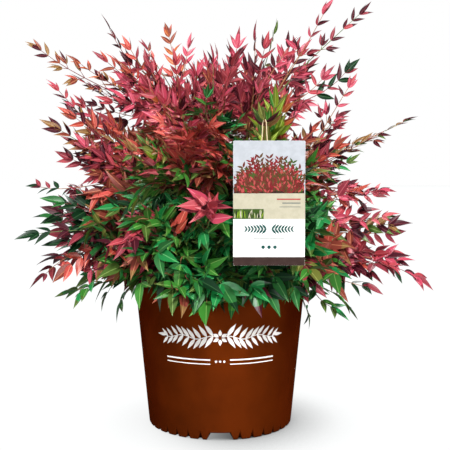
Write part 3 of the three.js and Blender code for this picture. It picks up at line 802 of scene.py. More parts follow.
def chips(count=900):
    """Bark chips on the mix: each a flat block, its corners shifted at random, turned at random."""
    rng = np.random.default_rng(SEED + 1)
    radius = (POT["rim_radius"] - 16 * MM) * np.sqrt(rng.random(count))
    bearing = rng.random(count) * math.tau
    centre = np.stack([radius * np.cos(bearing), radius * np.sin(bearing)], axis=-1)
    height = SOIL_TOP - 3.5 * MM + rng.random(count) * 3 * MM
    limits = ((4, 11), (2, 5), (1, 2.4))  # of a chip's length, width and thickness
    size = np.stack([rng.uniform(least, most, count) for least, most in limits], axis=-1) * MM
    block = np.array([(x, y, z) for z in (-1, 1) for x, y in ((-1, -1), (1, -1), (1, 1), (-1, 1))]) / 2
    local = (block + rng.uniform(-0.16, 0.16, (count, 8, 3))) * size[:, None]
    turn, tilt = rng.random((count, 1)) * math.tau, rng.uniform(-0.5, 0.5, (count, 1))
    x, y, z = local[..., 0], local[..., 1], local[..., 2]
    x, z = x * np.cos(tilt) + z * np.sin(tilt), z * np.cos(tilt) - x * np.sin(tilt)
    x, y = x * np.cos(turn) - y * np.sin(turn), x * np.sin(turn) + y * np.cos(turn)
    points = np.stack([x + centre[:, :1], y + centre[:, 1:], z + height[:, None]], axis=-1).reshape(-1, 3)
    sides = [(0, 3, 2, 1), (4, 5, 6, 7), (0, 1, 5, 4), (1, 2, 6, 5), (2, 3, 7, 6), (3, 0, 4, 7)]
    faces = (np.array(sides)[None] + np.arange(count)[:, None, None] * 8).reshape(-1, 4)
    shades = [
        patchy(f"bark_chip_{name}", tint(*pale), tint(*dark), 240, 0.88)
        for name, (pale, dark) in CHIP_TINTS.items()
    ]
    kinds = np.repeat(rng.integers(0, len(shades), count), 6)
    return piece("bark_chips", points, [faces], shades, kinds, smooth=False)


# ---------------------------------------------------------------- stems and boughs


def corners_of(node):
    """The merged corners (n, 3) and triangles (m, 3) of a CAD node."""
    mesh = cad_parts[node].data
    flat = np.empty(len(mesh.vertices) * 3, np.float32)
    mesh.vertices.foreach_get("co", flat)
    mesh.calc_loop_triangles()
    triangles = np.empty(len(mesh.loop_triangles) * 3, np.int32)
    mesh.loop_triangles.foreach_get("vertices", triangles)
    points, number = np.unique(np.round(flat.reshape(-1, 3).astype(float), 6), axis=0, return_inverse=True)
    return points, number.reshape(-1)[triangles].reshape(-1, 3)


def limb_line(node, knots):
    """The middle line of a CAD limb from its root to its tip: the means of its corners in equal stretches
    along its longest direction, and the mean distance of those corners from the line."""
    points, _ = corners_of(node)
    middle = points.mean(axis=0)
    direction = np.linalg.svd(points - middle)[2][0]
    outward = UP if node.startswith("cane") else middle * [1, 1, 0]
    direction = direction * (1 if direction @ outward > 0 else -1)
    share = (points - middle) @ direction
    share = (share - share.min()) / (share.max() - share.min())
    stretch = np.minimum((share * knots).astype(int), knots - 1)
    line, radius = [], []
    for k in range(knots):
        here = points[stretch == k]
        if len(here) < 3:
            continue
        line.append(here.mean(axis=0))
        across = (here - line[-1]) - np.outer((here - line[-1]) @ direction, direction)
        radius.append(np.linalg.norm(across, axis=1).mean())
    low, high = points[share.argmin()], points[share.argmax()]
    ends = [middle + direction * ((end - middle) @ direction) for end in (low, high)]
    line[0] = line[0] + direction * ((ends[0] - line[0]) @ direction)
    line[-1] = line[-1] + direction * ((ends[1] - line[-1]) @ direction)
    return np.array(line), np.array(radius)


def limb(node, knots, steps):
    """A limb's middle line as a smooth path of so many steps, and its radius at each of them."""
    line, radius = limb_line(node, knots)
    share = np.linspace(0, 1, steps)
    return smooth_path(line, steps), np.interp(share, np.linspace(0, 1, len(radius)), radius)


def cane_relief(steps, sides, rng, joints):
    """Swell of a cane's radius: a ring at each joint, seven uneven furrows, and a fine roughness."""
    t = np.linspace(0, 1, steps)[:, None]
    angle = np.arange(sides)[None] * math.tau / sides
    joint = np.exp(-(((t * joints) % 1 - 0.5) / 0.09) ** 2)
    furrow = np.sin(7 * angle + 2 * np.sin(9 * t)) * 0.06
    return 1 + 0.16 * joint + furrow + rng.normal(0, 0.025, (steps, sides))


def stems():
    """Each cane with its joints and furrows, and the boughs of each ring together."""
    rng = np.random.default_rng(SEED + 2)
    bark = cane_bark()
    heads = []
    for node in sorted(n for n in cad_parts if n.startswith("cane_")):
        path, thickness = limb(node, 5, 72)
        points, quads, tris, maps = tubes([path], [thickness], 20, cane_relief(72, 20, rng, 8))
        made = piece(node.replace("cane", "cane_bark"), points, [quads, tris], [bark], uv=maps)
        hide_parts(node)
        finish_piece(made)
        heads.append(path)
    shoots = {}
    for ring in ("droop", "waist", "shoulder"):
        nodes = sorted(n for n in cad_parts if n.startswith(f"bough_{ring}"))
        paths, thickness = zip(*(limb(node, 3, 24) for node in nodes))
        shoots.update((node.replace("bough", "foliage"), path) for node, path in zip(nodes, paths))
        points, quads, tris, maps = tubes(paths, thickness, 12, cane_relief(24, 12, rng, 3))
        made = piece(f"boughs_{ring}", points, [quads, tris], [bark], uv=maps)
        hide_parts(*nodes)
        finish_piece(made)
    return bark, heads, shoots


def finish_piece(made):
    """Every piece rides on the one body."""
    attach(made, "root")


# ---------------------------------------------------------------- leaves


class Sprays:
    """The stalks and leaflets of one mass of foliage, gathered until they are joined by kind."""

    def __init__(self, rng, twigs=()):
        """The places on the twigs from which leaves may spring, and each twig's way there."""
        self.rng = rng
        self.leaflets = []
        self.stalks = {"main": [], "side": []}
        self.shares = FAMILY_SHARES
        if twigs:
            self.spots = np.concatenate([line[1:] for line in twigs])
            self.ways = np.concatenate([unit(np.gradient(line, axis=0))[1:] for line in twigs])

    def leaflet(self, base, heading, face, length, family):
        """One leaflet, from its base along its heading, with its upper side towards face: its fold, arch,
        twist and swing, as leaf_piece uses them, and the tints of its blade and of its point."""
        rng = self.rng
        shade = FAMILIES[family][rng.choice(len(self.shares), p=self.shares)]
        widen = np.interp(base[2], (LOW, HIGH), (LEAFLET["low_width"], 1))
        half = length * rng.uniform(*LEAFLET["slender"]) * widen
        bend = (rng.uniform(0.1, 0.7), rng.uniform(0.0, 0.2), rng.normal(0, 0.35), rng.normal(0, 0.05))
        point = FAMILIES[family][2] if rng.random() < TIPPED_SHARE else shade
        shades = (LEAF_TINTS.index(shade), LEAF_TINTS.index(point))
        self.leaflets.append((*base, *heading, *face, length, half, *bend, *shades))

    def pair(self, base, heading, face, length, spread, family):
        """Two opposite leaflets, turned from the stalk's heading by spread."""
        across = np.cross(heading, face)
        spread = spread * np.interp(base[2], (LOW, HIGH), PAIR_SPREAD)
        for side in (-1, 1):
            angle = spread * self.rng.uniform(0.65, 1.3)
            lift = self.rng.uniform(-0.2, 0.3)
            way = unit(heading * math.cos(angle) + across * side * math.sin(angle) + face * lift)
            aslant = face + across * side * self.rng.uniform(-0.3, 0.6) + self.rng.normal(0, 0.2, 3)
            self.leaflet(base, way, unit(aslant), length * self.rng.uniform(0.86, 1.12), family)

    def trident(self, base, heading, face, length, family):
        """A spray's end: one long leaflet straight on, and a shorter pair at its foot."""
        self.leaflet(base, heading, face, length, family)
        self.pair(base, heading, face, length * self.rng.uniform(0.62, 0.9), 0.68, family)

    def pinna(self, base, heading, face, stalk, length, family, colour):
        """A side branch: a stalk with a trident at its end and, if it is long, one or two pairs along it."""
        tip_heading = unit(heading - UP * self.rng.uniform(-0.1, 0.3) * (base[2] < HIGH))
        end = base + (heading + tip_heading) * stalk / 2
        line = bezier(base, base + heading * stalk * 0.4, end - tip_heading * stalk * 0.3, end, 5)
        self.stalks["side"].append((line, *STALKS["side"], colour))
        self.trident(end, tip_heading, face, length, family)
        for share, shortest in ((0.5, 18 * MM), (0.15, 33 * MM)):
            if stalk > shortest:
                spot = line[round(share * 4)]
                self.pair(spot, heading, face, length * 0.74, 0.75, family)

    def leaf(self, start, leaving, tip, arriving, face, family, size, spread=1, slim=1, nodes=len(NODES_BACK)):
        """A whole compound leaf: a stalk that leaves the twig in one direction and ends at its long end
        leaflet, whose point is at tip and which points in the direction of arriving, with a pair of
        leaflets or of side branches at each node, longer towards the leaf's foot."""
        rng = self.rng
        length = rng.uniform(*LEAFLET["length"]) * size
        end = tip - arriving * length
        reach = np.linalg.norm(end - start)
        line = bezier(start, start + leaving * reach * 0.35, end - arriving * reach * 0.35, end, 12)
        colour = rng.choice(3, p=(0.5, 0.35, 0.15) if "green" not in family else (0.25, 0.25, 0.5))
        self.stalks["main"].append((line, *STALKS["main"], colour))
        step = np.linalg.norm(np.diff(line, axis=0), axis=1)
        gone = np.concatenate([[0], np.cumsum(step)])
        headings = unit(np.gradient(line, axis=0))
        for back, stalk in zip(NODES_BACK[:nodes], PINNA):
            distance = gone[-1] - back * size * rng.uniform(0.88, 1.12)
            if back and distance < gone[-1] * BARE_SHARE:
                break
            spot = np.array([np.interp(distance, gone, line[:, axis]) for axis in range(3)])
            heading = unit([np.interp(distance, gone, headings[:, axis]) for axis in range(3)])
            upper = unit(face - (face @ heading) * heading)
            if back == 0:
                self.trident(spot, heading, upper, length, family)
                continue
            across = np.cross(heading, upper)
            for side in (-1, 1):
                angle = rng.uniform(0.55, 0.85) * spread
                lift = rng.uniform(-0.15, 0.3)
                way = unit(heading * math.cos(angle) + across * side * math.sin(angle) + upper * lift)
                side_face = unit(upper - (upper @ way) * way + rng.normal(0, 0.16, 3))
                if stalk * slim < MIN_BRANCH:
                    self.leaflet(spot, way, side_face, length * rng.uniform(0.72, 0.9), family)
                else:
                    branch = stalk * slim * size * rng.uniform(0.8, 1.15)
                    self.pinna(spot, way, side_face, branch, length * rng.uniform(0.78, 0.98), family, colour)

    def grow(self, end, family, droop, longing=0.0, pointing=None, slim=1.0, nodes=len(NODES_BACK)):
        """A leaf to its end from the place on the twigs where the cosine between the way there and the
        twig's own way, a little shaken, + longing x the distance is greatest. It arrives pointing away
        from the heart, lowered by droop and a little astray, or as pointing says. Below 1, slim shortens
        its side branches."""
        rng, spots, ways = self.rng, self.spots, self.ways
        outward = unit(end - spots)
        far = np.linalg.norm(end - spots, axis=1)
        score = np.einsum("nj,nj->n", outward, ways) + rng.normal(0, 0.25, len(spots)) + longing * far
        start, way = spots[score.argmax()], ways[score.argmax()]
        heading = unit(end - start)
        arriving = unit(heading + 0.6 * unit(end - HEART) - UP * droop)
        astray = rng.normal(0, 0.1 if longing else np.interp(end[2], (LOW, HIGH), ASTRAY), 3)
        if end[2] < LOW:
            astray[2] = -abs(astray[2])
        arriving = unit(arriving + astray) if pointing is None else unit(pointing)
        size = np.interp(end[2], (LOW, HIGH), LEAF_SIZE) * rng.uniform(0.84, 1.12)
        face = facing(arriving, (start + end) / 2, rng)
        if slim < 1:
            size *= SLENDER_SIZE
        spread = rng.uniform(0.8, 1.25)
        if slim < 0.4:
            nodes = SLENDER_NODES + (rng.random() < 0.4)
        self.shares = FAMILY_SHARES if slim == 1 else FRINGE_SHARES
        leaving = unit(way + heading + 0.15 * UP)
        self.leaf(start, leaving, end, arriving, face, family, size, spread, slim, nodes)

    def leaf_piece(self, name):
        """All leaflets as one mesh. Along a leaflet t runs from 0 to 1, and its half width is half x
        t^swell (1 - t)^narrow / the greatest value of that. The two halves rise from the midrib by fold x
        the distance from it, the whole blade arches down by arch x length x t^2, twists by twist x t about
        its midrib, and swings sideways by swing x length x t^2. Its columns are its two edges and the two
        sides of its midrib."""
        table = np.array(self.leaflets)
        base, heading, face = table[:, 0:3], unit(table[:, 3:6]), table[:, 6:9]
        length, half, fold, arch, twist, swing = (table[:, k, None, None] for k in range(9, 15))
        shade, point_shade = table[:, 15:16].astype(int), table[:, 16:17].astype(int)
        across = unit(np.cross(heading, face))
        over = np.cross(across, heading)
        t = np.array(LEAFLET["rows"])[None, :, None]
        swell, narrow = LEAFLET["outline"]
        peak = swell / (swell + narrow)
        outline = t**swell * (1 - t) ** narrow / (peak**swell * (1 - peak) ** narrow)
        width = half * outline
        rib = np.minimum(LEAFLET["rib"], 0.3 * width)
        x = np.concatenate([-width, -rib, rib, width], axis=2)
        z = fold * np.abs(x)
        angle = twist * t
        x, z = x * np.cos(angle) - z * np.sin(angle), x * np.sin(angle) + z * np.cos(angle)
        x = x + swing * length * t**2
        z = z - arch * length * t**2
        y = np.broadcast_to(t * length, x.shape)
        local = np.stack([x, y, z], axis=-1).reshape(len(table), -1, 3)
        ends = np.zeros((len(table), 2, 3))
        ends[:, 1, 0] = (swing * length)[:, 0, 0]
        ends[:, 1, 1] = length[:, 0, 0]
        ends[:, 1, 2] = -(arch * length)[:, 0, 0]
        local = np.concatenate([local, ends], axis=1)
        axes = np.stack([across, heading, over], axis=1)
        points = np.einsum("nvk,nkj->nvj", local, axes) + base[:, None]
        rows, columns = len(LEAFLET["rows"]), 4
        row, column = np.meshgrid(np.arange(rows - 1), np.arange(columns - 1), indexing="ij")
        low = row * columns + column
        quads = np.stack([low, low + 1, low + columns + 1, low + columns], axis=-1).reshape(-1, 4)
        at = np.arange(columns - 1)
        last = (rows - 1) * columns
        root = np.stack([np.full(columns - 1, rows * columns), at + 1, at], axis=-1)
        point = np.stack([np.full(columns - 1, rows * columns + 1), last + at, last + at + 1], axis=-1)
        tris = np.concatenate([root, point])
        ribbed = np.concatenate([np.tile(at == 1, rows - 1), at == 1, at == 1]).astype(int)
        first = (np.arange(len(table)) * (rows * columns + 2))[:, None, None]
        pointed = np.repeat(np.arange(rows - 1) >= POINT_ROW, columns - 1)
        quad_kinds = np.where(pointed, point_shade, shade) * 2 + ribbed[: len(quads)]
        pointed = np.repeat([False, True], columns - 1)
        tri_kinds = np.where(pointed, point_shade, shade) * 2 + ribbed[len(quads):]
        kinds = np.concatenate([quad_kinds.reshape(-1), tri_kinds.reshape(-1)])
        faces = [(quads[None] + first).reshape(-1, 4), (tris[None] + first).reshape(-1, 3)]
        used = np.unique(kinds)
        materials = [LEAF_MATERIALS[k] for k in used]
        return piece(name, points.reshape(-1, 3), faces, materials, np.searchsorted(used, kinds))

    def stalk_piece(self, name):
        """All stalks as one mesh of tapering tubes: five-sided for a leaf's own stalk, else four-sided."""
        points, faces, kinds, count = [], [], [], 0
        for kind, sides in (("main", 5), ("side", 4)):
            group = self.stalks[kind]
            if not group:
                continue
            lines = np.array([line for line, *_ in group])
            taper = np.linspace(0, 1, lines.shape[1])
            radii = np.array([foot + (head - foot) * taper for _, foot, head, _ in group])
            colours = np.array([colour for *_, colour in group])
            made, quads, tris, _ = tubes(lines, radii, sides)
            points.append(made)
            for block in (quads, tris):
                faces.append(block + count)
                kinds.append(np.repeat(colours, len(block) // len(group)))
            count += len(made)
        return piece(name, np.concatenate(points), faces, STALK_MATERIALS, np.concatenate(kinds))


# ---------------------------------------------------------------- growing the crown


def skin(node):
    """A mass's corners and triangles, which of these look away from the heart, and their areas."""
    points, triangles = corners_of(node)
    a, b, c = (points[triangles[:, k]] for k in range(3))
    normal = np.cross(b - a, c - a)
    area = np.linalg.norm(normal, axis=1) / 2
    middle = (a + b + c) / 3
    outward = np.einsum("nj,nj->n", unit(normal), unit(middle - HEART))
    keep = (outward > 0.25) & (area > 1e-9)
    return points, triangles, np.flatnonzero(keep), area


def lobe_tips(points, triangles):
    """The corners of a mass that lie further from the heart than every corner next to them."""
    far = np.linalg.norm(points - HEART, axis=1)
    edges = np.concatenate([triangles[:, [0, 1]], triangles[:, [1, 2]], triangles[:, [2, 0]]])
    beaten = np.zeros(len(points), bool)
    beaten[edges[far[edges[:, 0]] < far[edges[:, 1]], 0]] = True
    beaten[edges[far[edges[:, 1]] < far[edges[:, 0]], 1]] = True
    used = np.zeros(len(points), bool)
    used[edges.reshape(-1)] = True
    return points[used & ~beaten]


def body_reach(points):
    """How far the crown's close body reaches from the heart towards each point: the right and left outlines
    blended round it, and stretched at front and back by the body's depth."""
    way = unit(points - HEART)
    elevation = np.degrees(np.arcsin(way[:, 2]))
    flat = np.maximum(np.hypot(way[:, 0], way[:, 1]), 1e-9)
    right = (1 + way[:, 0] / flat) / 2
    reach = np.interp(elevation, BODY_ELEVATIONS, np.array(BODY_RIGHT) * MM) * right
    reach = reach + np.interp(elevation, BODY_ELEVATIONS, np.array(BODY_LEFT) * MM) * (1 - right)
    return reach * (1 - (1 - BODY_DEPTH) * (way[:, 1] / flat) ** 2)


def leaf_tips(node, rng, spacing):
    """Points of a mass's outer skin, each as far as it can be from the rest."""
    points, triangles, outer, area = skin(node)
    weight = area[outer] / area[outer].sum()
    chosen = rng.choice(outer, SKIN_POOL, p=weight)
    u, v = rng.random((2, SKIN_POOL, 1))
    flip = u + v > 1
    u, v = np.where(flip, 1 - u, u), np.where(flip, 1 - v, v)
    a, b, c = (points[triangles[chosen, k]] for k in range(3))
    pool = a + (b - a) * u + (c - a) * v
    wanted = max(MIN_LEAVES, round(area[outer].sum() / spacing**2))
    tips = [pool[0]]
    while len(tips) < wanted:
        gap = np.min([np.linalg.norm(pool - tip, axis=1) for tip in tips], axis=0)
        tips.append(pool[gap.argmax()])
    return np.array(tips)


def drawn_in(tips, rng, low, high):
    """The tips brought back to the crown's body, each to its own share of the reach there, from low to
    high. None is left below the lowest height, and those beside the pot are pushed clear of its lip."""
    away = tips - HEART
    far = np.linalg.norm(away, axis=1)
    reach = np.minimum(far, body_reach(tips) * rng.uniform(low, high, len(tips)))
    tips = HEART + away * (reach / far)[:, None]
    flat = np.maximum(np.hypot(tips[:, 0], tips[:, 1]), 1e-9)
    lowest = LOWEST[0] + (LOWEST[1] - LOWEST[0]) * (tips[:, 0] / flat) ** 2
    tips[:, 2] = np.maximum(tips[:, 2], lowest + rng.uniform(0, 34 * MM, len(tips)))
    clear = POT["lip_radius"] + rng.uniform(18 * MM, 48 * MM, len(tips))
    outward = np.where(tips[:, 2] < POT_HIGH[2] + 15 * MM, np.maximum(1, clear / flat), 1)
    tips[:, :2] *= outward[:, None]
    return tips


def gap_tips(tips, rng):
    """Leaf tips that close the gaps that the masses leave between them. Directions spread evenly over a
    sphere (each a golden angle further round than the last, at even steps of height) are taken one by one,
    at the body's reach, where no tip is nearer than a gap."""
    step = np.arange(GAP_TRIES) + 0.5
    height = np.cos(GAP_LOWEST) + (1 - np.cos(GAP_LOWEST)) * step / GAP_TRIES
    bearing = step * math.pi * (3 - math.sqrt(5))
    flat = np.sqrt(1 - height**2)
    way = np.stack([flat * np.cos(bearing), flat * np.sin(bearing), height], axis=-1)
    tries = HEART + way * (body_reach(HEART + way) * rng.uniform(*GAP_REACH, GAP_TRIES))[:, None]
    tries = drawn_in(tries, rng, *GAP_REACH)
    taken = list(tips)
    added = []
    for point in rng.permutation(tries):
        gap = np.interp(point[2], (LOW, HIGH), GAPS)
        if np.min(np.linalg.norm(np.array(taken) - point, axis=1)) > gap:
            taken.append(point)
            added.append(point)
    return np.array(added).reshape(-1, 3)


def deal_tint(tip, rng):
    """A spray's tint: that of the patch it is in, or else drawn by its height from the tint levels, and by
    its distance across from the side tints."""
    for across, height, radius, names in PATCHES:
        near = math.hypot(tip[0] - across * MM, tip[2] - height * MM) < radius * MM
        if near and (tip[1] < 0 or abs(across) > SIDE_PATCH) and rng.random() < PATCH_SHARE:
            return names[rng.integers(len(names))]
    level = np.interp(tip[2], [height for height, _ in TINT_LEVELS], range(len(TINT_LEVELS)))
    pick = min(int(level + rng.random()), len(TINT_LEVELS) - 1)
    shares = TINT_LEVELS[pick][1]
    side = np.interp(abs(tip[0]), SIDE_REACH, (0, 0.5))
    if rng.random() < side and tip[2] < TINT_LEVELS[-2][0]:
        shares = SIDE_TINTS
    names = list(shares)
    weight = np.array([shares[name] for name in names], float)
    return names[rng.choice(len(names), p=weight / weight.sum())]


def facing(heading, middle, rng):
    """The side that a leaf's upper face looks to, square to its heading. It looks up where the leaf lies
    flat, and is rolled about the heading, at the sides of the crown and high up mostly so far that it looks
    to the front, or to the back on the back half of the crown."""
    level = unit(UP - (UP @ heading) * heading + 1e-6)
    depth = np.array([0, -1.0 if middle[1] < FRONT_HALF else 1.0, 0])
    open_side = unit(depth - (depth @ heading) * heading + 1e-6)
    share = np.clip(abs(heading[0]) * 0.75 + max(heading[2], 0) * 0.9, 0, 1) * rng.uniform(0.25, 1.0)
    face = unit(level * (1 - share) + open_side * share)
    roll = rng.normal(0, 0.5)
    return unit(face * math.cos(roll) + np.cross(heading, face) * math.sin(roll))


def twigs_of(centre, stem, rng):
    """Four twigs that carry on from the end of a stem and fan out towards the middle of a mass."""
    root, leaving = stem[-1], unit(stem[-1] - stem[-5])
    twigs = []
    for turn in range(4):
        aim = centre + rng.normal(0, 30 * MM, 3) * (turn > 0)
        end = root + (aim - root) * rng.uniform(0.35, 0.6)
        reach = np.linalg.norm(end - root)
        before_end = end - unit(aim - root) * reach * 0.3
        twigs.append(bezier(root, root + leaving * reach * 0.35, before_end, end, 10))
    return twigs


def heart_leaves(heads):
    """Small shaded leaves inside the open heart, each from a cane, outwards and a little up."""
    rng = np.random.default_rng(SEED + 5)
    sprays = Sprays(rng)
    for _ in range(HEART_LEAVES):
        path = heads[rng.integers(len(heads))]
        start = path[rng.integers(12, len(path))]
        bearing = rng.uniform(0, math.tau)
        heading = unit([math.cos(bearing), math.sin(bearing), rng.uniform(-0.1, 0.7)])
        end = start + heading * rng.uniform(70, 115) * MM
        family = ("night_green", "deep_green", "moss", "rust")[rng.choice(4, p=(0.4, 0.3, 0.15, 0.15))]
        arriving = unit(heading - UP * rng.uniform(0, 0.5))
        sprays.leaf(start, unit(heading + UP * 0.4), end, arriving, facing(arriving, end, rng), family, 1.0)
    finish_piece(sprays.leaf_piece("leaves_heart"))
    finish_piece(sprays.stalk_piece("stalks_heart"))


def lobe_leaves(sprays, node):
    """A leaf to each lobe of a mass, apart from those at the crown's sides, its top and its lowest edge."""
    for tip in lobe_tips(*corners_of(node)):
        way = unit(tip - HEART)
        at_side = abs(way[0]) > LOBE_SIDE * math.hypot(way[0], way[1])
        if not (at_side or way[2] > LOBE_TOP or tip[2] < LOWEST[0]):
            sprays.grow(tip, deal_tint(tip, sprays.rng), sprays.rng.uniform(0, 0.25), longing=4)


def shaded_leaves(sprays, node, spacing):
    """The shaded leaves inside a mass, each from any place on its twigs straight to its tip."""
    rng = sprays.rng
    sprays.shares = FAMILY_SHARES
    for tip in drawn_in(leaf_tips(node, rng, spacing), rng, *INNER_REACH):
        # painted shade: low in the crown these leaves take the darkest tints
        shades = INNER_TINTS[0 if tip[2] < INNER_LEVEL else 1]
        start = sprays.spots[rng.integers(len(sprays.spots))]
        heading = unit(tip - start)
        arriving = unit(heading - UP * rng.uniform(0, 0.6))
        face = facing(arriving, tip, rng)
        sprays.leaf(start, heading, tip, arriving, face, rng.choice(shades), rng.uniform(0.85, 1.1))


def hold_tag(sprays, hook):
    """The leaf that the tag hangs from: its stalk runs through the strap just under the strap's top, and
    its end leaflets stand in front of that."""
    start = sprays.spots[np.linalg.norm(sprays.spots - hook, axis=1).argmin()]
    ahead = unit([-0.15, -1, 0.12])
    end = hook + ahead * 4 * MM
    reach = np.linalg.norm(end - start)
    line = bezier(start, start + (end - start) * 0.35 + UP * 12 * MM, end - ahead * reach * 0.35, end, 12)
    sprays.stalks["main"].append((line, STALKS["main"][0], 0.55 * MM, 1))
    raised = unit([-0.35, -0.45, 0.8])
    sprays.trident(end, raised, unit([0, -0.8, -0.6]), 22 * MM, "olive")
    for back in (12 * MM, 32 * MM):
        sprays.pair(end - ahead * back, unit(ahead + 0.8 * UP), unit([0, -0.7, -0.7]), 26 * MM, 1.0, "bronze")


def nearest(points, centres):
    """The number of the centre that each point lies nearest to."""
    return np.linalg.norm(points[:, None] - centres[None], axis=2).argmin(axis=1)


def crown(heads, shoots, bark):
    """Grows every mass: twigs fan out from the end of its bough, or of the nearest cane at the top. Each
    spray that stands out, and each leaf that closes a gap, belongs to the mass whose middle it is nearest
    to. The sprays come first, then the leaves that close the body, then the shaded ones inside."""
    masses = sorted(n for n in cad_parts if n.startswith("foliage_"))
    chance = np.random.default_rng(SEED)
    long_tips = np.array([(x, 0, z) for x, z, _ in LONG_SPRAYS]) * MM
    long_tips[:, 1] = chance.uniform(-1, 0.7, len(long_tips)) * LONG_SPRAY_DEPTH
    centres = np.array([corners_of(node)[0].mean(axis=0) for node in masses])
    owner = nearest(long_tips, centres)
    front_sprays = STAR + FRONT_SPRAYS + BEHIND_CARD
    front_tips = np.array([tip for tip, _, _ in front_sprays]) * MM
    front_owner = nearest(front_tips, centres)
    outer = {}
    for number, node in enumerate(masses):
        rng = np.random.default_rng(SEED * 100 + number)
        ring = node.split("_")[1]
        outer[node] = drawn_in(leaf_tips(node, rng, LEAF_SPACING[ring]), rng, LEAST_REACH[ring], 1.0)
    strap = np.array(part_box("tag_loop"))
    hook = np.array([*strap.mean(axis=0)[:2], strap[1, 2] - 2 * MM])
    hook_owner = nearest(hook[None], centres)[0]
    gaps = gap_tips(np.concatenate([*outer.values(), front_tips]), chance)
    gap_owner = nearest(gaps, centres)
    all_twigs = []
    for number, node in enumerate(masses):
        rng = np.random.default_rng(SEED * 200 + number)
        ring = node.split("_")[1]
        centre = centres[number]
        stem = shoots.get(node)
        if stem is None:
            stem = min(heads, key=lambda path: np.linalg.norm(path[-1] - centre))
        twigs = twigs_of(centre, stem, rng)
        all_twigs += twigs
        sprays = Sprays(rng, twigs)
        for spray in np.flatnonzero(owner == number):
            droop = np.interp(long_tips[spray][2], (160 * MM, 230 * MM), (1.4, 0.05))
            slim = rng.uniform(0.05, 0.7) if spray < SLIM_SPRAYS or spray >= SLIM_AGAIN else 1.0
            sprays.grow(long_tips[spray], LONG_SPRAYS[spray][2], droop, longing=8, slim=slim)
        for spray in np.flatnonzero(front_owner == number):
            slim = rng.uniform(0.1, 0.45) if abs(front_tips[spray][0]) > SIDE_SPRAYS else 1.0
            nodes = STAR_NODES if spray < len(STAR) else len(NODES_BACK)
            sprays.grow(front_tips[spray], front_sprays[spray][2], 0, 4, front_sprays[spray][1], slim, nodes)
        lobe_leaves(sprays, node)
        for tip in np.concatenate([outer[node], gaps[gap_owner == number]]):
            rise = np.clip(unit(tip - HEART)[2], -0.2, 0.8)
            sprays.grow(tip, deal_tint(tip, rng), rng.uniform(0.0, 0.7) * (1 - rise / 0.8))
        shaded_leaves(sprays, node, INNER_SPACING[ring])
        if number == hook_owner:
            hold_tag(sprays, hook)
        leaves = sprays.leaf_piece(node.replace("foliage", "leaves"))
        stalks = sprays.stalk_piece(node.replace("foliage", "stalks"))
        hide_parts(node)
        finish_piece(leaves)
        finish_piece(stalks)
    heart_leaves(heads)
    radii = np.linspace(1.6, 0.9, 10)[None] * MM * np.ones((len(all_twigs), 1))
    points, quads, tris, maps = tubes(all_twigs, radii, 8)
    finish_piece(piece("twigs", points, [quads, tris], [bark], uv=maps))


# ---------------------------------------------------------------- prints on the pot and the tag


def bands(spines, halves, lifts, onto):
    """Flat bands of ink, each a strip with four long sides and two ends, as points and quads.

    A band's middle line runs through its spine (n, k, 2), and its edges lie half (n, k) to each side of
    that, square to it. Its underside is sunk a little and its top stands proud by its lift (n). onto turns
    across, up and out into a place on what it is printed on.
    """
    spines = np.asarray(spines, float)
    many, steps, _ = spines.shape
    ahead = unit(np.gradient(spines, axis=1))
    across = np.stack([ahead[..., 1], -ahead[..., 0]], axis=-1) * np.asarray(halves)[..., None]
    right, left = spines + across, spines - across
    flat = np.stack([right, left, left, right], axis=2)
    low = np.full((many, steps), -PRINT["sunk"])
    high = np.broadcast_to(np.asarray(lifts, float)[:, None], (many, steps))
    out = np.stack([low, low, high, high], axis=2)
    points = onto(flat[..., 0], flat[..., 1], out).reshape(-1, 3)
    sides = wrap_faces(steps, 4)
    last = (steps - 1) * 4
    ends = np.array([(3, 2, 1, 0), (last, last + 1, last + 2, last + 3)])
    first = (np.arange(many) * steps * 4)[:, None, None]
    return points, (np.concatenate([sides, ends])[None] + first).reshape(-1, 4)


def blades(places, turns, lengths, halves, steps=8):
    """Spines and half widths of small printed leaves. Each starts at its place, points along its turn (0 is
    up, positive to the right), and is as wide as half x sin(pi s^0.8) at the share s of its length."""
    share = np.linspace(0, 1, steps)[None, :, None]
    way = np.stack([np.sin(turns), np.cos(turns)], axis=-1)[:, None]
    spines = np.asarray(places)[:, None] + way * share * np.asarray(lengths)[:, None, None]
    outline = np.maximum(np.sin(math.pi * share[..., 0] ** 0.8), 0.03)
    return spines, np.asarray(halves)[:, None] * outline


def dots(places, radius, steps=9):
    """Spines and half widths of round dots: half = radius x sqrt(1 - s^2), s from -1 to 1 across one."""
    share = np.sin(np.linspace(-math.pi / 2, math.pi / 2, steps))
    spines = np.asarray(places)[:, None] + np.stack([share * radius, share * 0], axis=-1)[None]
    return spines, np.broadcast_to(np.maximum(np.sqrt(1 - share**2), 0.05) * radius, spines.shape[:2])


def strip(start, end, half, steps):
    """The spine and half widths of one straight band."""
    spine = np.linspace(start, end, steps)[None]
    return spine, np.full((1, steps), half)


class Print:
    """Bands of several inks on one thing, gathered until they are joined into one piece."""

    def __init__(self, inks, onto):
        """The names of the inks, and onto, which places across, up and out on what is printed."""
        self.inks, self.onto = list(inks), onto
        self.points, self.faces, self.kinds, self.count = [], [], [], 0

    def add(self, shapes, lifts, names):
        """Adds bands given as spines and half widths, with a lift and the name of an ink for each."""
        spines, halves = shapes
        many = len(spines)
        points, quads = bands(spines, halves, np.broadcast_to(lifts, many), self.onto)
        self.points.append(points)
        self.faces.append(quads + self.count)
        names = [names] * many if isinstance(names, str) else names
        self.kinds.append(np.repeat([self.inks.index(name) for name in names], len(quads) // many))
        self.count += len(points)

    def made(self, name, materials):
        """The joined piece."""
        points, kinds = np.concatenate(self.points), np.concatenate(self.kinds)
        return piece(name, points, self.faces, materials, kinds, smooth=False)


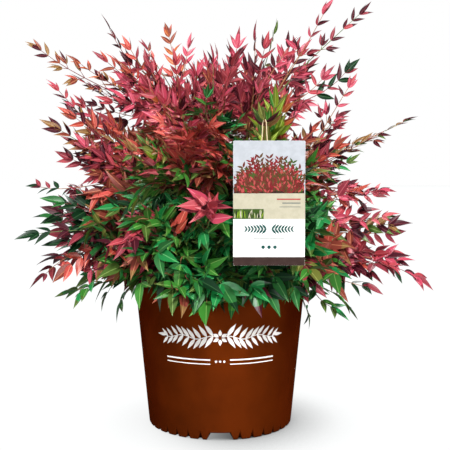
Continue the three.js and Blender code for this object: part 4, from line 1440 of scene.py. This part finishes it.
def pot_print():
    """A printed garland round the front of the pot: two leafy stems that run out from a small flower in the
    middle, over a pair of rules that stop short of a row of dots."""
    rim, foot, top = POT["rim_radius"], POT["foot_radius"], POT_HIGH[2]
    taper = (rim - foot) / (top - POT["foot"])
    middle = GARLAND["height"]
    usual = foot + taper * middle

    def onto(across, up, out):
        """Round the pot's wall: the angle is across / the wall's radius at the garland."""
        radius = foot + taper * (up - POT["foot"]) + out
        angle = across / usual
        return np.stack([radius * np.sin(angle), -radius * np.cos(angle), up], axis=-1)

    sheet = Print(["white"], onto)
    lift = PRINT["on_pot"]
    reach, pairs, leaf = GARLAND["reach"], GARLAND["pairs"], GARLAND["leaf"]

    def along(side, share):
        """Places on a garland's stem: two waves up and down on its way from the flower to its end."""
        wave = GARLAND["wave"] * np.sin(share * 2 * math.tau)
        return np.stack([side * share * reach, middle + wave], axis=-1)

    for side in (-1, 1):
        stem = along(side, np.linspace(0.08, 0.93, 40))[None]
        sheet.add((stem, np.full((1, 40), 0.55 * MM)), lift, "white")
        share = np.linspace(0.11, 0.9, pairs)
        foot_points = along(side, share)
        size = leaf * (1 - 0.35 * share)
        for over in (-1, 1):
            turn = side * (math.pi / 2 - over * (0.98 - 0.2 * share))
            sheet.add(blades(foot_points, turn, size, GARLAND["half"] * size / leaf), lift, "white")
        end = [[side * 0.92 * reach, middle]]
        last_leaf = blades(end, [side * math.pi / 2], [leaf * 0.8], [GARLAND["half"] * 0.8])
        sheet.add(last_leaf, lift, "white")
    count = FLOWER["petals"]
    petals = np.arange(count) * math.tau / count
    ring = np.stack([np.sin(petals), np.cos(petals)], axis=-1) * FLOWER["radius"] + [0, middle]
    lengths, halves = np.full(count, FLOWER["length"]), np.full(count, FLOWER["half"])
    sheet.add(blades(ring, petals, lengths, halves), lift, "white")
    for height, half in POT_RULES:
        for side in (-1, 1):
            sheet.add(strip((side * 13 * MM, height), (side * 76 * MM, height), half, 36), lift, "white")
    low = POT_RULES[0][0] - 2 * MM
    sheet.add(dots([(k * 5.4 * MM, low) for k in (-1, 0, 1)], 1.5 * MM), lift, "white")
    made = sheet.made("pot_print", [ink("white", 246, 242, 238)])
    finish_piece(made)


def picture_leaves(left, right, low, high, rng):
    """A fan of leafy sprays that fills a panel from the middle of its foot, and short leaves strewn over a
    low bank in front of it: for each leaf its place, turn and length. Each spray is a straight line as long
    as the panel allows, with pairs of leaves that shorten towards its tip. The bank is lower towards its
    two ends, by a third of its height x the square of the distance across."""
    root = np.array([(left + right) / 2, low - 16 * MM])
    places, turns, lengths, sprays = [], [], [], []
    for number, turn in enumerate(np.linspace(-FAN["spread"], FAN["spread"], FAN["sprays"])):
        sideways = (right - root[0]) / max(abs(math.sin(turn)), 1e-6)
        room = min(sideways, (high - root[1]) / math.cos(turn) * 0.9)
        room = min(room * 0.97, FAN["longest"]) * rng.uniform(0.84, 1.0)
        for share in np.arange(0.2, 0.95, 0.07):
            spot = root + np.array([math.sin(turn), math.cos(turn)]) * room * share
            for side in (-1, 1):
                places.append(spot)
                turns.append(turn + side * rng.uniform(0.5, 0.95))
                lengths.append(FAN["leaf"] * (1.15 - 0.4 * share) * rng.uniform(0.85, 1.1))
                sprays.append(number)
    across, up = rng.uniform(-1, 1, BANK["leaves"]), rng.random(BANK["leaves"])
    order = up.argsort()[::-1]
    across, up = across[order], up[order] * BANK["height"] * (1 - across[order] ** 2 / 3)
    places = np.concatenate([places, np.stack([root[0] + across * (right - left) / 2, low + up], axis=-1)])
    turns = np.concatenate([turns, across * 0.7 + rng.normal(0, 0.6, len(across))])
    lengths = np.concatenate([lengths, rng.uniform(3.6, 6.4, len(across)) * MM])
    sprays = np.concatenate([sprays, number + 1 + rng.integers(0, 14, len(across))])
    tips = places + np.stack([np.sin(turns), np.cos(turns)], axis=-1) * lengths[:, None]
    inside = (np.abs(tips[:, 0] - root[0]) < (right - left) / 2) & (tips[:, 1] < high) & (tips[:, 1] > low)
    inside &= places[:, 1] > low
    return places[inside], turns[inside], lengths[inside], sprays[inside]


def tag_print(box):
    """The card's print, from its top: a picture panel with a fan of red and green leaves over a bank of
    strewn ones, a cream band with a block of grass blades and three rules, the bare card with a small
    garland, a thin rule and dots, and a dark foot. A panel's half width narrows at the card's corners."""
    low, high = (np.array(corner) for corner in box)
    front, centre = low[1], (low[0] + high[0]) / 2

    def onto(across, up, out):
        """On the card's front, across from its middle."""
        return np.stack([centre + across, front - out, up], axis=-1)

    inks = {
        "sky": ink("sky", 172, 176, 182),
        "cream": ink("cream", 178, 172, 150),
        "earth": ink("earth", 50, 32, 28),
        "crimson": ink("crimson", 116, 18, 26),
        "rose": ink("rose", 168, 66, 64),
        "brick": ink("brick", 92, 32, 20),
        "bronze": ink("bronze", 82, 56, 26),
        "forest": ink("forest", 24, 36, 16),
        "grass": ink("grass", 112, 142, 24),
        "moss": ink("moss", 50, 76, 18),
        "mound": ink("mound", 46, 20, 14),
        "teal": ink("teal", 20, 72, 68),
        "grey": ink("grey", 96, 106, 104),
    }
    sheet = Print(inks, onto)
    rng = np.random.default_rng(SEED + 9)
    half = (high[0] - low[0]) / 2 - PRINT["inset"]
    tall = high[2] - low[2]
    edges = high[2] - tall * np.cumsum([0, *CARD_PANELS.values()])
    ground, (first, last) = PRINT["ground"], PRINT["motif"]

    def panel(heights, halves, lift, name):
        """A panel in the card's middle, with a half width at each of its heights."""
        sheet.add((np.stack([heights * 0, heights], axis=-1)[None], halves[None]), lift, name)

    top, bottom = edges[0] - PRINT["inset"], edges[4] + PRINT["inset"]
    corner = np.array([half, half, half - 0.25 * MM, half - 1.2 * MM])
    panel(np.array([edges[1], top - 1.4 * MM, top - 0.6 * MM, top]), corner, ground, "sky")
    sheet.add(strip((0, edges[2]), (0, edges[1]), half, 3), ground, "cream")
    panel(np.array([bottom, bottom + 0.6 * MM, bottom + 1.4 * MM, edges[3]]), corner[::-1], ground, "earth")

    rise = np.linspace(0, 1, 14)
    widths = half * 0.98 * np.sqrt(np.maximum(1 - rise**3, 0.002))
    panel(edges[1] + rise * BANK["height"] * 0.85, widths, ground + 0.03 * MM, "mound")
    places, turns, lengths, sprays = picture_leaves(-half, half, edges[1], edges[0] - 4 * MM, rng)
    colours = rng.choice(PICTURE_INKS, sprays.max() + 1)
    names = [colours[k] if rng.random() < 0.7 else "brick" for k in sprays]
    lifts = np.linspace(first, last, len(places))
    sheet.add(blades(places, turns, lengths, lengths * 0.17), lifts, names)

    block = (edges[2] + edges[2] + 11 * MM) / 2
    sheet.add(strip((-half, block), (-6 * MM, block), 5.5 * MM, 3), first, "moss")
    across = rng.uniform(-half + MM, -8 * MM, GRASS_BLADES)
    roots = np.stack([across, np.full(GRASS_BLADES, edges[2] + 0.4 * MM)], axis=-1)
    names = rng.choice(GRASS_INKS, GRASS_BLADES)
    tallness = rng.uniform(6, 11, GRASS_BLADES) * MM
    grass = blades(roots, rng.normal(0, 0.2, GRASS_BLADES), tallness, tallness * 0.07)
    sheet.add(grass, np.linspace(first, last, GRASS_BLADES) + 0.05 * MM, names)
    for row, (length, name) in enumerate(((26, "rose"), (20, "grey"), (23, "grey"))):
        height, end = edges[1] - (6.5 + 4.2 * row) * MM, half - 5 * MM
        sheet.add(strip((end - length * MM, height), (end, height), (0.75 - 0.2 * row) * MM, 3), first, name)

    middle = edges[2] - 11 * MM
    size = np.linspace(7.5, 5, 7) * MM
    for side in (-1, 1):
        roots = np.stack([side * np.linspace(3, 24, 7) * MM, np.full(7, middle)], axis=-1)
        for over in (-1, 1):
            turn = np.full(7, side * (math.pi / 2 - over * 0.85))
            sheet.add(blades(roots, turn, size, size * 0.17), first, "teal")
        sheet.add(strip((side * 2 * MM, middle), (side * 27 * MM, middle), 0.35 * MM, 3), first, "teal")
    sheet.add(strip((-17 * MM, middle - 10 * MM), (17 * MM, middle - 10 * MM), 0.4 * MM, 3), first, "grey")
    sheet.add(dots([(k * 6.5 * MM, middle - 20 * MM) for k in (-1, 0, 1)], 2 * MM), first, "teal")
    finish_piece(sheet.made("tag_print", list(inks.values())))


def dress(node, made):
    """Gives a CAD node another material, on its object's own slots."""
    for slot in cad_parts[node].material_slots:
        slot.link = "OBJECT"
        slot.material = made


def tag():
    """The card and its strap keep their CAD shapes. The card is coated white stock, printed in front."""
    dress("tag_card", patchy("card_stock", tint(250, 249, 246), tint(244, 243, 240), 35, 0.42))
    dress("tag_loop", patchy("strap_elastic", tint(226, 206, 172), tint(206, 180, 140), 400, 0.6))
    tag_print(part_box("tag_card"))


# ---------------------------------------------------------------- stage


def sun(name, bearing, elevation, strength, spread):
    """A soft light from far away, from a bearing round the pot (0 is the viewer's side, positive to the
    right) and an elevation above the floor, all in degrees."""
    light = bpy.data.lights.new(name, "SUN")
    light.energy = strength
    light.angle = math.radians(spread)
    made = bpy.data.objects.new(name, light)
    turn, rise = math.radians(bearing), math.radians(elevation)
    source = Vector((math.sin(turn) * math.cos(rise), -math.cos(turn) * math.cos(rise), math.sin(rise)))
    made.rotation_mode = "QUATERNION"
    made.rotation_quaternion = source.to_track_quat("Z", "Y")
    bpy.context.scene.collection.objects.link(made)


def part_rays(tree, first, second, target):
    """What the camera sees directly takes second, and every other ray takes first."""
    add, join = nodes_of(tree)
    rays = add("ShaderNodeLightPath")
    mixed = add("ShaderNodeMixShader")
    join(rays.outputs["Is Camera Ray"], mixed.inputs["Fac"])
    join(first, mixed.inputs[1])
    join(second, mixed.inputs[2])
    join(mixed.outputs[0], target)


def floor_material():
    """A white sweep that throws back little light. The camera sees it as a white glow rather than lit, with a
    painted shade where the pot stands close over it, deeper on the right."""
    made = material("floor", (0.2, 0.2, 0.2, 1), 0.9, Specular_IOR_Level=0.0)
    tree = made.node_tree
    add, join = nodes_of(tree)
    # painted shade: the glow dims where things stand close over the floor, and by the floor's own X more on
    # the right
    near = add("ShaderNodeAmbientOcclusion", samples=8)
    give(near, Distance=0.11)
    parts = add("ShaderNodeSeparateXYZ")
    join(place(tree), parts.inputs[0])
    side = add("ShaderNodeMapRange", interpolation_type="SMOOTHSTEP")
    give(side, From_Min=-0.11, From_Max=0.05, To_Min=0.25)
    join(parts.outputs["X"], side.inputs["Value"])
    open_share = add("ShaderNodeMapRange")
    give(open_share, From_Min=0.15, From_Max=0.93, To_Min=-1.0, To_Max=0.0)
    join(near.outputs["AO"], open_share.inputs["Value"])
    shade = add("ShaderNodeMath", operation="MULTIPLY_ADD")
    join(open_share.outputs["Result"], shade.inputs[0])
    join(side.outputs["Result"], shade.inputs[1])
    shade.inputs[2].default_value = 1.03
    glow = add("ShaderNodeEmission")
    give(glow, Color=(0.99, 1.0, 1.0, 1))
    join(shade.outputs[0], glow.inputs["Strength"])
    target = tree.nodes["Material Output"].inputs["Surface"]
    part_rays(tree, tree.nodes["Principled BSDF"].outputs[0], glow.outputs[0], target)
    return made


def stage():
    """A wide pale floor, a white room, soft light, and the camera in front of the pot."""
    scene = bpy.context.scene
    scene.view_settings.view_transform = "Standard"
    rings = np.array([0.05, 0.5, 1.5, 4, 12, 40])
    angles = np.linspace(0, math.tau, 64, endpoint=False)
    radius = np.concatenate([rings[:, None] * np.ones(64), rings[::-1, None] * np.ones(64)])
    height = np.concatenate([np.full((6, 64), -0.01), np.zeros((6, 64))])
    turned("floor", radius, height, angles, [floor_material()])
    world = bpy.data.worlds.new("studio")
    world.use_nodes = True
    scene.world = world
    tree = world.node_tree
    around = tree.nodes["Background"]
    give(around, Color=(1, 1, 1, 1), Strength=ROOM_LIGHT)
    seen = tree.nodes.new("ShaderNodeBackground")
    give(seen, Color=(1, 1, 1, 1))
    part_rays(tree, around.outputs[0], seen.outputs[0], tree.nodes["World Output"].inputs["Surface"])
    for name, values in LIGHTS.items():
        sun(name, *values)
    camera = bpy.data.cameras.new("camera")
    camera.sensor_width = CAMERA["sensor"]
    camera.lens = CAMERA["lens"]
    holder = bpy.data.objects.new("camera", camera)
    holder.location = CAMERA["place"]
    holder.rotation_mode = "QUATERNION"
    holder.rotation_quaternion = (Vector(CAMERA["aim"]) - holder.location).to_track_quat("-Z", "Y")
    scene.collection.objects.link(holder)
    scene.camera = holder


def build():
    """Makes everything, in the order in which it stands on the floor."""
    finish_piece(pot())
    pot_print()
    finish_piece(mix())
    finish_piece(chips())
    bark, heads, shoots = stems()
    crown(heads, shoots, bark)
    tag()
    stage()


build()
